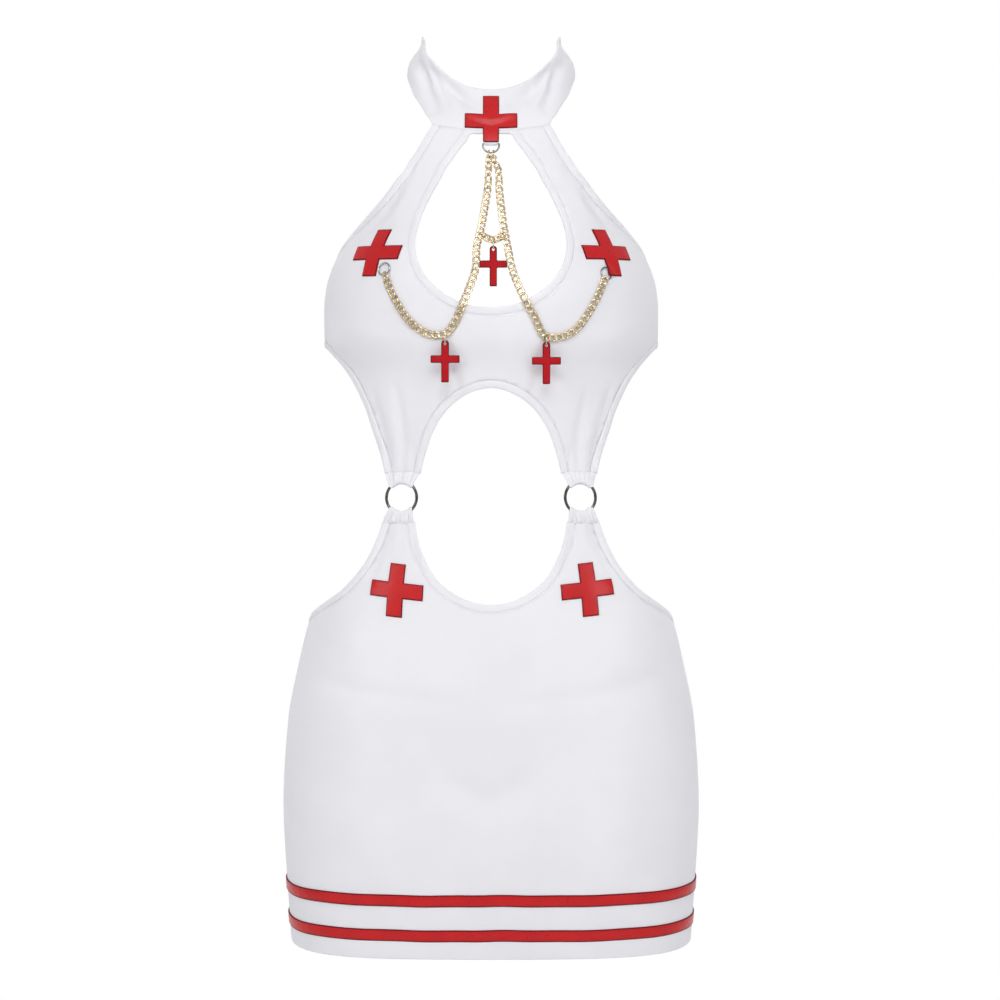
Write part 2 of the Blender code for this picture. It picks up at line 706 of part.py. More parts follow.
def chain(name, route):
    """Chain as a round cord through a smooth line along its route."""
    route = np.array(route, float)
    points = place(route[:, 0], route[:, 1], route[:, 2])
    run = np.concatenate([[0], np.cumsum(np.linalg.norm(np.diff(points, axis=0), axis=1))])
    tangents = np.gradient(points, run, axis=0)
    line = []
    for i in range(len(points) - 1):
        length = run[i + 1] - run[i]
        t = np.linspace(0, 1, 12, endpoint=False)[:, None]
        start = (2 * t - 3) * t * t + 1
        bend = (1 - t) * tangents[i] - t * tangents[i + 1]
        line.append(start * points[i] + (1 - start) * points[i + 1] + length * t * (1 - t) * bend)
    line = np.vstack([*line, points[-1:]])
    run = np.concatenate([[0], np.cumsum(np.linalg.norm(np.diff(line, axis=0), axis=1))])
    at = np.linspace(0, run[-1], max(5, round(run[-1] / CHAIN_PITCH) + 1))
    line = np.stack([np.interp(at, run, line[:, k]) for k in range(3)], -1)
    curve = bpy.data.curves.new(name, "CURVE")
    curve.dimensions = "3D"
    curve.bevel_depth = CHAIN_RADIUS * MM
    curve.bevel_resolution = 2
    curve.use_fill_caps = True
    spline = curve.splines.new("POLY")
    spline.points.add(len(line) - 1)
    for point, spot in zip(spline.points, line * MM):
        point.co = (*spot, 1)
    curve.materials.append(material("gold"))
    made = bpy.data.objects.new(name, curve)
    bpy.context.scene.collection.objects.link(made)


def button(name, centre, axis, sides=10):
    """Domed stud cap whose flat back faces against the axis."""
    axis = unit(axis)
    across = unit(np.cross((0, 0, 1), axis))
    up = np.cross(axis, across)
    profile = ((STUD_RADIUS, 0), (STUD_RADIUS, 0.6), (STUD_RADIUS * 0.7, 1.1))
    points = [
        np.asarray(centre) + radius * (math.cos(a) * across + math.sin(a) * up) + rise * axis
        for radius, rise in profile
        for a in np.arange(sides) * 2 * math.pi / sides
    ]
    faces = strip_faces(len(profile), sides, closed=True)
    top = len(points) - sides
    faces += [tuple(range(sides))[::-1], tuple(range(top, top + sides))]
    return solid(name, points, faces, "silver")


# Collar: one doubled strip, its +X end over its -X end at centre back.
steps = 2 * COLLAR_OVERLAP_TURN // PANEL_STEP_TURN + 1
collar_turns = np.linspace(-COLLAR_OVERLAP_TURN, COLLAR_OVERLAP_TURN, steps)
folded = np.abs(collar_turns)
folded = np.where(folded > 180, 360 - folded, folded)
foot = collar_foot_height(folded)
top = collar_top_height(folded)
collar_spots = []
collar_lifts = []
part = np.clip((np.abs(collar_turns) - 144) / 18, 0, 1)
part = COLLAR_PART * np.sign(collar_turns) * part * part * (3 - 2 * part)
for share in np.linspace(0, 1, COLLAR_ROWS + 1):
    collar_spots += list(zip(collar_turns, foot + share * (top - foot)))
    collar_lifts += list(part)
collar_lifts = np.array(collar_lifts)
collar_faces = strip_faces(COLLAR_ROWS + 1, steps)
inside_lifts = collar_lifts - DOUBLED / 2
wall("collar", collar_spots, collar_faces, inside_lifts, inside_lifts + DOUBLED, "white_knit")

outside_flap = COLLAR_PART + DOUBLED / 2 + GAP
for number, stud_height in enumerate(STUD_HEIGHTS, 1):
    back = outward(180, stud_height)
    button(f"stud_cap_{number}", place(180, stud_height, outside_flap), back)
    button(f"stud_back_{number}", place(180, stud_height, -outside_flap - 0.2), -back)

# The edges of the body of the dress; each runs with the cloth on its left.
right_keyhole = np.array(KEYHOLE, float)
left_keyhole = right_keyhole[-2:0:-1] * (-1, 1)
keyhole = spaced(smooth(np.vstack([right_keyhole, left_keyhole]), closed=True), closed=True)
arch = spaced(smooth(both_halves(ARCH)))
lower = spaced(smooth(both_halves(LOWER[::-1], 180)[::-1]))
armhole = spaced(smooth(both_halves(ARMHOLE[::-1], 180)))
midriff = spaced(smooth(both_halves(MIDRIFF[::-1])[::-1]))
hip = spaced(smooth(both_halves(HIP[::-1], 180)))

binding("armhole_band", armhole, below_collar_back_too)
binding("midriff_arch_band", arch, above_upper_loops)
binding("bodice_lower_band", lower, above_upper_loops)
binding("midriff_curve_band", midriff, below_lower_loops)
binding("skirt_top_band", hip, below_lower_loops)

band_outside = clip(inset(keyhole, BAND, closed=True), below_collar)
band_outside = joined(band_outside, seam_line(band_outside[-1][0], band_outside[0][0]))
spots, triangles = fill(band_outside, hole=keyhole)
wall("keyhole_band", spots, triangles, -DOUBLED / 2, DOUBLED / 2, "white_knit")

# Panels, a gap inside their bindings.
arch_in, lower_in, armhole_in, midriff_in, hip_in = (
    inset(path, BAND + GAP) for path in (arch, lower, armhole, midriff, hip)
)
keyhole_in = clip(inset(keyhole, BAND + GAP, closed=True), below_collar)

arch_run = right_half(clip(arch_in, above_upper_loops))
lower_run = clip(clip(lower_in, above_upper_loops), before(90))
armhole_run = clip(clip(armhole_in, before(90)), below_collar)
keyhole_run = right_half(keyhole_in)
half = joined_open(
    arch_run,
    straight(arch_run[-1], lower_run[0], PITCH),
    lower_run,
    straight(lower_run[-1], armhole_run[0], PITCH),
    armhole_run,
    seam_line(armhole_run[-1][0], keyhole_run[0][0]),
    keyhole_run,
)
bodice_crosses = {name: cross_outline(*CROSSES[name]) for name in ("cross_bust_left", "cross_bust_right")}
rows = np.arange(-300, -30, BODICE_ROW_STEP)
front = panel("bodice_front", mirrored_outline(half), staggered(-90, 90, rows), bodice_crosses.values())
for name, outline in bodice_crosses.items():
    cross_patch(name, *front, outline, CLOTH / 2 + GAP)

bottom = clip(clip(lower_in, after(90)), before(270))
top = clip(clip(armhole_in, before(270)), after(90))
outline = joined(bottom, straight(bottom[-1], top[0], PITCH), top, straight(top[-1], bottom[0], PITCH))
panel("back_strap", outline, staggered(90, 270, rows))

hip_run = clip(clip(hip_in, before(90)), below_lower_loops)
midriff_run = right_half(clip(midriff_in, below_lower_loops))
columns = np.arange(0, 90, PANEL_STEP_TURN)
hem_run = hem_line(HEM, [*columns, 90 - SIDE_SEAM])
half = joined_open(
    hem_run,
    side_rows(90 - SIDE_SEAM, hip_run[0]),
    hip_run,
    straight(hip_run[-1], midriff_run[0], PITCH),
    midriff_run,
)
hip_crosses = {name: cross_outline(*CROSSES[name]) for name in ("cross_hip_left", "cross_hip_right")}
columns = np.arange(-90 + PANEL_STEP_TURN, 90, PANEL_STEP_TURN)
ends = (SIDE_SEAM - 90, 90 - SIDE_SEAM)
lines = [hem_line(height, [ends[0], *columns, ends[1]]) for height in SKIRT_ROWS[:4]]
grid = [(turn, height) for height in SKIRT_ROWS[4:] for turn in columns]
front = panel("skirt_front", mirrored_outline(half), grid, hip_crosses.values(), lines)
for name, outline in hip_crosses.items():
    cross_patch(name, *front, outline, CLOTH / 2 + GAP)

top = clip(clip(hip_in, before(270)), after(90))
columns = columns + 180
ends = (90 + SIDE_SEAM, 270 - SIDE_SEAM)
outline = joined(
    hem_line(HEM, [ends[0], *columns, ends[1]]),
    side_rows(ends[1], top[0]),
    top,
    side_rows(ends[0], top[-1])[::-1],
)
lines = [hem_line(height, [ends[0], *columns, ends[1]]) for height in SKIRT_ROWS[:4]]
grid = [(turn, height) for height in SKIRT_ROWS[4:] for turn in columns]
panel("skirt_back", outline, grid, lines=lines)

columns = np.arange(0, 360, PANEL_STEP_TURN)
base = CLOTH / 2 + GAP
for name, heights in HEM_TAPES.items():
    spots = np.vstack([hem_line(height, columns) for height in heights])
    wall(name, spots, strip_faces(2, len(columns), closed=True), base, base + TAPE, "red_vinyl")

outline = cross_outline(0, COLLAR_CROSS_HEIGHT, 0, COLLAR_CROSS_SPAN)
spots, triangles = fill(outline, staggered(-20, 20, np.arange(-45, 0, 6.0)))
base = DOUBLED / 2 + GAP
wall("cross_collar", spots, triangles, base, base + TAPE, "red_vinyl")

# Waist rings, each held by a gathered loop above and one below.
for label, side in (("left", -1), ("right", 1)):
    centre = np.array(WAIST_RING_CENTRE) * (side, 1, 1)
    facing = np.array(WAIST_RING_FACING) * (side, 1, 1)
    path = circle(WAIST_RING_RADIUS, 32)
    ring(f"waist_ring_{label}", centre, facing, path, WAIST_RING_WIRE, 8, "dark_nickel")
    waist_loop(f"loop_upper_{label}", side, 1, UPPER_LOOP_TURNS, UPPER_LOOP_SEAM - GAP / 2)
    waist_loop(f"loop_lower_{label}", side, -1, LOWER_LOOP_TURNS, LOWER_LOOP_SEAM + GAP / 2)

# D-ring on its tab below the collar, and the small rings on the bust.
d_centre = place(0, D_RING_HEIGHT, D_RING_LIFT)
d_facing = outward(0, D_RING_HEIGHT)
half_width = D_RING_WIDTH / 2
bow = [(half_width * math.cos(a), half_width * math.sin(a)) for a in np.radians(np.arange(180, 361, 20))]
corner = [(half_width, D_RING_BAR - 1.2), (half_width - 0.35, D_RING_BAR - 0.35)]
corner.append((half_width - 1.2, D_RING_BAR))
d_path = [*bow, *corner, *[(-x, z) for x, z in reversed(corner)]]
ring("d_ring", d_centre, d_facing, d_path, D_RING_WIRE, 6, "silver")

d_up = np.cross(d_facing, unit(np.cross((0, 0, 1), d_facing)))
bar = d_centre + D_RING_BAR * d_up
tab_outer = [(2.6, 1.0), (1.6, 1.35), *arc_points(1.8), (1.6, -1.35), (2.6, -1.0), (2.6, 0)]
tab_inner = [(0.98, 0.38), (0.7, 0.78), *arc_points(1.05), (0.7, -0.78), (0.98, -0.38), (1.08, 0)]
tab_ends = [np.array((x, 0, 0)) for x in (-D_RING_TAB / 2, D_RING_TAB / 2)]
outer, inner = (
    np.array([[bar + end + v * d_up + n * d_facing for v, n in section] for end in tab_ends])
    for section in (tab_outer, tab_inner)
)
sleeve("d_ring_tab", outer, inner, "white_knit")

for name, (turn, height) in BUST_RINGS.items():
    centre = place(turn, height, CLOTH / 2 + GAP + BUST_RING_WIRE)
    ring(name, centre, outward(turn, height), circle(BUST_RING_RADIUS, 16), BUST_RING_WIRE, 6, "silver")

# Chains, and the pendants that swing from them on jump rings.
for name, route in CHAINS.items():
    chain(name, route)

for name, spot in PENDANTS.items():
    hung_at = place(*spot)
    link = hung_at - (0, 0, CHAIN_RADIUS + GAP + JUMP_RING_WIRE + JUMP_RING_RADIUS)
    path = circle(JUMP_RING_RADIUS, 12)
    ring(name.replace("pendant", "jump_ring"), link, (1, 0, 0), path, JUMP_RING_WIRE, 6, "gold", hung_at)
    centre = link - (0, 0, JUMP_RING_RADIUS)
    plate(name, pendant_outline(), circle(PENDANT_HOLE, 8), centre, "red_acrylic", hung_at)
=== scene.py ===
"""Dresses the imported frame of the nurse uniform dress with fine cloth, trims, rings, chains and pendants."""

import math

import bpy
import numpy as np
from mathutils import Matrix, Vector
from mathutils.geometry import delaunay_2d_cdt
from mathutils.kdtree import KDTree


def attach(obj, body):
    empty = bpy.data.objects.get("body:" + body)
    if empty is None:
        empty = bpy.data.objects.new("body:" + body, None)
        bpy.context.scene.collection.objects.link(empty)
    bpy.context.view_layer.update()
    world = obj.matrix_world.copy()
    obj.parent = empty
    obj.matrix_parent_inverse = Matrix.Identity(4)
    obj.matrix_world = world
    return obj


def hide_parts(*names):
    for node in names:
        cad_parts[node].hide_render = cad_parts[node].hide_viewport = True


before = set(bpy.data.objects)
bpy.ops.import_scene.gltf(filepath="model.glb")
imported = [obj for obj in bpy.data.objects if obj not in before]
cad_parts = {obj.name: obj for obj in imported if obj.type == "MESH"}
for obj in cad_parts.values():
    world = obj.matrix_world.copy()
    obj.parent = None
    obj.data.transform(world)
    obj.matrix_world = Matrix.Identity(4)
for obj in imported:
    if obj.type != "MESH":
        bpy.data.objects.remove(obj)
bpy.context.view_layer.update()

rng = np.random.default_rng(7)

# Everything is in millimetres until a mesh is made. Turn is the angle round the body in degrees: 0 at
# centre front, 90 at its +X side, 180 at centre back. Height is z.
MM = 0.001
# Millimetres to a degree of turn wherever the cloth is laid out flat, roughly
TURN_MM = 2.0
BAND = 6.3
HEM = -690.0
HEM_SIDE_LIFT = 6.2
# Lower edges of the tapes at centre front
HEM_TAPES = {"hem_tape_upper": -648.2, "hem_tape_lower": -675.9}
UPPER_LOOP_SEAM = -307.0
LOWER_LOOP_SEAM = -345.5
UPPER_LOOP_TURNS = (34.7, 50.6)
LOWER_LOOP_TURNS = (36.9, 50.7)

COLLAR_OVERLAP_TURN = 192
COLLAR_HALF = 1.1
COLLAR_COLUMNS = 281
# Its two ends part behind, each by this much, from one turn on and in full from the other
COLLAR_PART = 1.25
PART_FROM = 144
PART_FULL = 162
STUD_HEIGHTS = (6.0, -9.0)

WAIST_RING_CENTRE = (71.2, -76.2, -326.0)
WAIST_RING_FACING = (0.345, -0.938, 0.04)
WAIST_RING_RADIUS = 12.95
WAIST_RING_WIRE = 1.15
# Degrees of the ring to each side of a loop's middle, its gap to the wire's middle, half its thickness
LOOP_SPREAD = 50
LOOP_GAP = 2.02
LOOP_HALF = 0.5

CROSS_ARM = 13.1
CROSS_SPAN = 44.0
COLLAR_CROSS_SPAN = 43.0
COLLAR_CROSS_HEIGHT = -23.4
BUST_RING_RADIUS = 5.0
BUST_RING_WIRE = 0.6
D_RING_WIDTH = 13.0
D_RING_WIRE = 0.7
D_RING_LIFT = -1.2
D_RING_HEIGHT = -44.4
D_RING_BAR = 1.6
D_RING_TAB = 10.6
# How much nearer to the cloth the links lie than the middle of the CAD's round chain
CHAIN_SINK = 1.35
LINK_LENGTH = 3.2
LINK_WIDTH = 2.35
LINK_WIRE = (0.9, 0.66)
LINK_TWIST = 0.42
LINK_PITCH = 5.3
PENDANT_WIDTH = 22.0
PENDANT_LENGTH = 32.2
PENDANT_ARM = 5.8
PENDANT_BAR_BELOW_TOP = 14.6
PENDANT_THICK = 2.0
PENDANT_HOLE = 1.1
PENDANT_HOLE_RIM = 0.95
HOLE_SIDES = 32
SIDE_PENDANT_SIZE = 1.04
CHAMFER = 0.7
# Below the spot where a pendant hangs in its chain
PENDANT_DROP = 8.15
JUMP_RING_DROP = 4.45
JUMP_RING = (1.75, 3.25)
JUMP_RING_WIRE = 0.45

# Meshing of the cloth: along edges, over panels, and how near an edge a spot of the lattice may lie
EDGE_PITCH = 2.5
TURN_STEP = 1.35
ROW_STEP = 2.7
LATTICE_GAP = 1.55
SAME_SPOT = 0.5
HEM_ROWS = (0.12, 0.35, 0.7, 1.2, 2.0)
LOOP_COLUMNS = 73

# Cloth: half its thickness, how far it runs under what covers it, its dip at seams, its turned-up hem
CLOTH_HALF = 0.6
UNDER_BAND = 0.4
SEAM_OVERLAP = 0.6
SEAM_DIP = 0.34
SEAM_REACH = 1.5
HEM_EXTRA = 0.3
HEM_FOLD = 22
HEM_ROLL = 0.95
WALE = 0.8
COURSE = 0.62

# Distance in from the edge and half thickness of a doubled binding with a rolled edge, there and back
BINDING = np.array((
    (0.0, 0.0), (0.12, 0.46), (0.45, 0.84), (1.0, 1.06), (1.9, 1.16), (3.2, 1.16), (4.4, 1.06), (5.2, 0.9),
    (5.8, 0.66), (6.15, 0.42), (6.3, 0.2),
))
BINDING = np.vstack([BINDING, BINDING[:0:-1] * (1, -1)])

# height, half_width, front, back, roundness
BODY = (
    (60, 56.0, 40.0, 50, 2.2),
    (52, 56.0, 41.0, 51, 2.2),
    (45, 56.3, 42.0, 52, 2.2),
    (40, 58.8, 42.5, 53, 2.2),
    (34, 63.3, 43.0, 54, 2.2),
    (27, 66.8, 43.5, 55, 2.2),
    (18, 68.0, 44.5, 57, 2.2),
    (8, 68.5, 46.5, 59, 2.2),
    (-2, 72.0, 50.5, 60, 2.2),
    (-12, 80.0, 56.0, 62, 2.2),
    (-25, 95.0, 63.0, 65, 2.2),
    (-41, 103.0, 70.0, 71, 2.2),
    (-90, 109.0, 82.5, 85, 2.2),
    (-110, 115.0, 90.5, 89, 2.2),
    (-124, 122.4, 98.5, 92, 2.2),
    (-140, 130.0, 104.8, 94, 2.2),
    (-156, 134.6, 107.9, 95, 2.2),
    (-172, 136.1, 109.3, 95, 2.2),
    (-197, 135.9, 108.0, 93, 2.2),
    (-222, 129.4, 100.0, 88, 2.3),
    (-246, 122.9, 94.0, 83, 2.4),
    (-271, 117.2, 89.0, 79, 2.6),
    (-297, 112.4, 85.5, 76, 2.8),
    (-322, 111.4, 84.0, 75, 3.0),
    (-345, 113.7, 85.5, 77, 3.0),
    (-372, 122.8, 90.0, 84, 3.0),
    (-398, 135.8, 96.0, 93, 3.0),
    (-426, 147.6, 101.0, 101, 3.0),
    (-459, 155.9, 106.0, 108, 3.0),
    (-508, 165.0, 110.0, 114, 3.0),
    (-574, 168.7, 110.5, 115, 3.0),
    (-640, 165.3, 108.3, 112, 3.0),
    (-706, 160.2, 103.8, 108, 3.0),
)

# Edges of the +X half, as (turn, height); the -X half mirrors them.
COLLAR_TOP = (
    (-8, 2.95), (0, 2.5), (8, 2.95), (16, 4.2), (24, 6.3), (32, 9.6), (40, 14.4), (48, 20.9), (54, 26.6),
    (60, 32.4), (66, 37.8), (74, 44.4), (82, 49.4), (90, 52), (101, 44.5), (112, 37), (128, 28),
    (147, 19.5), (165, 15.5), (173, 14.4), (180, 14.1),
)
COLLAR_FOOT = (
    (-8, -33), (0, -33), (13.6, -32.6), (27, -29.8), (39, -26.8), (41.9, -22.8), (47.2, -17.3), (52.7, -11.7),
    (59.6, -5.9), (67.2, 0), (73.5, 5.8), (78.8, 11.4), (85.9, 17.4), (90, 20), (105, 14), (125, 1),
    (150, -12), (166, -16.6), (174, -17.8), (180, -18),
)
ARMHOLE = (
    (38.4, -22), (40.1, -31.4), (41.7, -39.6), (43.8, -47.7), (46.7, -55.6), (49.1, -63.6), (52.8, -71.3),
    (56, -79.1), (59.6, -86.8), (63.8, -94.4), (68.5, -101.9), (73.9, -109.3), (80, -117.5), (90, -127.5),
    (105, -138), (120, -147), (140, -156), (160, -163), (180, -165),
)
KEYHOLE = (
    (0, -35.5), (10, -35.5), (14, -36), (15.5, -40.5), (19.8, -48.7), (23.4, -56.8), (26.8, -64.8),
    (28.9, -72.9), (31.5, -80.9), (33.3, -89), (34.8, -97.1), (35.5, -105.3), (35.4, -113.5), (33.8, -126),
    (31.1, -138.4), (28.8, -146.6), (25.5, -154.8), (20.9, -162.8), (14.3, -170.9), (0, -176.4),
)
ARCH = (
    (0, -239.5), (5.9, -241), (15.8, -248.9), (21.2, -256.7), (27.8, -272.5), (31.7, -288.3), (34.5, -305),
    (35.2, -314),
)
LOWER = (
    (50.3, -314), (51.2, -304), (53.5, -288), (56, -272), (58.4, -256), (62.4, -239.7), (69.4, -223.2),
    (74.5, -214.5), (81, -207), (90, -203.5), (110, -203.5), (180, -205),
)
MIDRIFF = (
    (37.2, -336), (36.7, -345), (34.6, -359.8), (30.6, -375.6), (24.6, -391.3), (19.5, -399.1),
    (11.4, -407), (0, -410.9),
)
HIP = (
    (50.2, -336), (50.9, -345.5), (52.1, -360), (54.1, -375.9), (57.6, -391.9), (60.6, -399.9),
    (66.3, -408.2), (75.7, -417), (90, -424), (110, -429), (140, -431), (180, -431),
)

# name: turn, height, lean of its level arm and of its upright in degrees, width and height over the span
CROSSES = {
    "cross_bust_left": (-51.1, -131.3, -1.5, -3.5, 1.1, 0.95),
    "cross_bust_right": (52.0, -131.2, 1.5, 3.8, 1.1, 0.95),
    "cross_hip_left": (-39.8, -399.7, -6.2, -0.8, 1.0, 0.98),
    "cross_hip_right": (40.7, -399.1, 6.2, 2.0, 1.0, 0.98),
}
# name: turn, height, lift; the same for the chains and pendants, whose routes are the CAD's
BUST_RINGS = {"bust_ring_left": (-44.3, -145.2, 1.75), "bust_ring_right": (47.9, -148.3, 1.3)}
CHAINS = {
    "chain_left": (
        (-0.8, -53.0, 3.3), (-1.4, -66.1, 3.3), (-1.8, -80.6, 3.3), (-3.3, -96.7, 3.3), (-4.6, -112.7, 3.3),
        (-6.25, -129.4, 3.3), (-6.45, -146.0, 3.3), (-9.1, -162.7, 3.6), (-11.6, -174.5, 3.8),
        (-14.0, -185.6, 3.6), (-18.3, -196.5, 3.4), (-24.5, -197.5, 3.4), (-30.3, -191.4, 3.4),
        (-34.4, -182.7, 3.4), (-37.6, -172.2, 3.4), (-40.8, -161.0, 3.4), (-43.3, -149.6, 3.2),
    ),
    "chain_right": (
        (3.6, -53.0, 3.3), (4.4, -66.1, 3.3), (4.7, -80.6, 3.3), (5.5, -96.7, 3.3), (6.3, -112.7, 3.3),
        (7.5, -129.4, 3.3), (8.9, -146.0, 3.3), (11.9, -162.6, 3.6), (14.4, -172.8, 3.8),
        (17.3, -182.3, 3.6), (23.0, -199.5, 3.4), (28.0, -199.4, 3.4), (33.5, -194.7, 3.4),
        (38.2, -183.0, 3.4), (42.0, -170.1, 3.4), (43.9, -154.2, 3.2),
    ),
    "chain_centre": (
        (-2.9, -120.8, 3.3), (-0.9, -122.7, 3.3), (1.1, -123.6, 3.3), (2.9, -122.9, 3.3), (4.6, -120.9, 3.3),
    ),
}
# Where the short chain's end links close round the two long chains
CENTRE_CHAIN_ENDS = ((-4.7, -118.0, 2.2), (6.3, -118.2, 2.2))
PENDANTS = {
    "pendant_left": (-18.6, -196.7, 3.4),
    "pendant_right": (22.5, -197.9, 3.4),
    "pendant_centre": (1.1, -123.6, 3.3),
}

# Folds of the cloth: depth (below zero for a trough), half width, then spots along it as (turn, height).
# Each is that deep times the scale at its middle and the end's share of it at its ends, and is looked for
# only within a window, across and up, about its middle.
FOLD_SCALE = 1.95
FOLD_END = 0.55
FOLD_WINDOW = (160, 110)
FOLDS = (
    # collar
    (0.9, 4.5, (-72, 41), (-62, 32), (-52, 22)),
    (-1.6, 5.5, (-73, 30), (-66, 21), (-58, 11)),
    (-1.6, 4.2, (-66, 24.5), (-55.3, 5.4), (-40.9, -12.6)),
    (0.6, 2.6, (-60, 19), (-50, 3.5), (-38, -10)),
    (-1.1, 3.0, (-60, 27), (-55.1, 18.5), (-44.4, 3.0), (-33.9, -9.5)),
    (0.5, 2.4, (-50, 14), (-40, 2), (-28, -8)),
    (-1.5, 3.8, (-58, 25), (-48.6, 13.8), (-34.8, 3.0), (-16.7, -9.9)),
    (-1.2, 4.2, (-38, 4), (-27, -4), (-15, -10)),
    (0.9, 4.5, (71, 41), (62, 32), (52, 22)),
    (-1.5, 5.5, (71, 30), (64, 21), (57, 11)),
    (-1.6, 4.2, (61.6, 24), (52.5, 3.5), (39.9, -12.6)),
    (0.6, 2.6, (57, 18), (47.5, 3), (36, -10)),
    (-1.1, 3.0, (58, 27), (51.9, 16.7), (43, 4.6), (31.6, -6.1)),
    (0.45, 2.4, (47, 12), (37, 1.5), (25, -7.5)),
    (-1.5, 3.8, (56, 24), (44.4, 11.0), (32, -0.3), (18, -9.9)),
    (-1.1, 4.2, (36, 2), (26, -5), (16, -10)),
    (-0.8, 5.0, (-95, 38), (-103, 22), (-110, 8)),
    (-0.6, 4.5, (99, 36), (106, 20), (111, 8)),
    (-0.5, 4.0, (-126, 22), (-134, 8)),
    (-0.45, 4.0, (131, 22), (141, 5)),
    (0.4, 5.0, (118, 24), (122, 10)),
    # across the collar's cross
    (0.55, 2.6, (-17, -18.6), (-9, -22.0), (0, -24.6), (9, -22.0), (17, -18.6)),
    (-0.4, 2.3, (-15, -24.4), (-8, -27.4), (0, -29.6), (8, -27.4), (15, -24.4)),
    # straps of the halter
    (-0.8, 5.0, (-46.5, -66), (-50.5, -82), (-55.7, -101.1), (-61.5, -113)),
    (-0.5, 3.6, (-43.2, -52), (-46, -66)),
    (0.45, 5.0, (-45, -80), (-49, -98)),
    (-0.7, 4.6, (39.8, -47), (46.0, -66.2)),
    (-0.85, 4.6, (50.2, -80), (56.1, -101.1), (60.5, -115)),
    (0.4, 5.0, (45, -84), (50, -102)),
    # under the bust
    (-1.35, 13.0, (-80, -213), (-68, -224), (-55, -228), (-39, -224)),
    (-1.3, 13.0, (79, -212), (66, -224), (54, -228), (38, -223)),
    (0.8, 9.0, (-60, -193), (-45, -197)),
    (0.8, 9.0, (60, -192), (46, -198)),
    # tabs over the waist rings
    (-0.85, 3.8, (-42.5, -240), (-41.9, -268.3), (-41.8, -285.8), (-43, -306)),
    (0.28, 3.4, (-46.5, -256), (-45.6, -280), (-45, -306)),
    (-0.7, 3.2, (-53.6, -242), (-49.9, -280.1), (-47.6, -306)),
    (-0.55, 2.2, (-37.6, -284), (-38.2, -306)),
    (0.3, 2.0, (-40.2, -290), (-40.6, -306)),
    (-0.45, 1.7, (-50.0, -292), (-49.4, -306)),
    (-0.85, 3.8, (43.1, -244), (41.7, -268.3), (41.3, -290.6), (42.4, -306)),
    (0.28, 3.4, (47, -258), (46, -280), (45.2, -306)),
    (-0.65, 3.2, (53.4, -242), (50.0, -280.1), (47.6, -306)),
    (-0.55, 2.2, (38.2, -286), (38.6, -306)),
    (0.28, 2.0, (40.2, -291), (40.4, -306)),
    (-0.4, 1.7, (49.6, -294), (49.4, -306)),
    # tabs under the waist rings
    (-0.7, 3.2, (-48.6, -346), (-49.2, -375.8), (-50.4, -393)),
    (-0.6, 2.6, (-38.2, -346), (-36, -364), (-32.1, -384)),
    (0.35, 2.6, (-43.6, -346), (-43, -368)),
    (-0.5, 1.8, (-41.2, -346), (-41.6, -362)),
    (-0.4, 1.6, (-46.0, -346), (-46.4, -360)),
    (-0.65, 3.2, (48.4, -346), (49.0, -375.8), (50.6, -392)),
    (-0.6, 2.6, (38.8, -346), (36.5, -362), (33.2, -380)),
    (0.35, 2.6, (43.4, -346), (43.2, -366)),
    (-0.5, 1.8, (41.0, -346), (41.2, -360)),
    (-0.4, 1.6, (46.2, -346), (46.8, -363)),
    # skirt front
    (-0.42, 6.0, (-66, -466), (-48.1, -479.7), (-27.5, -486.9), (-6, -489.5)),
    (-0.4, 6.0, (8, -489), (25, -487), (39.8, -481.7), (52.3, -473.7), (66, -461)),
    (0.5, 9.0, (-60, -456), (-40, -470), (-14, -476)),
    (0.45, 9.0, (58, -455), (38, -470), (16, -476)),
    (-1.15, 13.0, (-25, -519), (-18, -549), (0, -566), (18, -549), (25, -519)),
    (0.5, 22.0, (-10, -505), (10, -505)),
    (1.3, 22.0, (-46, -500), (-47, -557), (-45, -618)),
    (1.3, 22.0, (45, -502), (46.5, -560), (45, -618)),
    (1.1, 15.0, (-52, -436), (-47, -458)),
    (1.0, 15.0, (51, -437), (46, -458)),
    # skirt back
    (-0.8, 8.0, (113, -452), (130, -466), (152, -474)),
    (-0.75, 8.0, (249, -449), (232, -464), (209, -473)),
    (0.6, 10.0, (120, -478), (146, -488)),
    (0.6, 10.0, (241, -476), (214, -487)),
    (-1.9, 16.0, (180, -478), (180, -560)),
    (1.5, 26.0, (146, -520), (148, -560)),
    (1.5, 26.0, (214, -520), (212, -560)),
    (-0.6, 7.0, (110, -560), (128, -574)),
    (-0.55, 7.0, (251, -566), (236, -578)),
    # back strap
    (-0.5, 4.0, (112, -160), (138, -176)),
    (-0.5, 4.0, (247, -158), (223, -174)),
    (-0.4, 3.5, (150, -190), (176, -184)),
    (-0.35, 3.5, (186, -186), (206, -191)),
)


def monotone(rows):
    """The smooth curve through (x, y) rows of rising x that never swings past them, as a function of x."""
    xs, ys = np.array(rows, float).T
    gaps = np.diff(xs)
    slopes = np.diff(ys) / gaps
    tangents = np.zeros(len(xs))
    tangents[0] = slopes[0]
    tangents[-1] = slopes[-1]
    for i in range(1, len(xs) - 1):
        if slopes[i - 1] * slopes[i] > 0:
            near = 2 * gaps[i] + gaps[i - 1]
            far = gaps[i] + 2 * gaps[i - 1]
            tangents[i] = (near + far) / (near / slopes[i - 1] + far / slopes[i])

    def value(x):
        x = np.clip(x, xs[0], xs[-1])
        i = np.clip(np.searchsorted(xs, x) - 1, 0, len(gaps) - 1)
        t = (x - xs[i]) / gaps[i]
        start = (2 * t - 3) * t * t + 1
        bend = (1 - t) * tangents[i] - t * tangents[i + 1]
        return start * ys[i] + (1 - start) * ys[i + 1] + gaps[i] * t * (1 - t) * bend

    return value


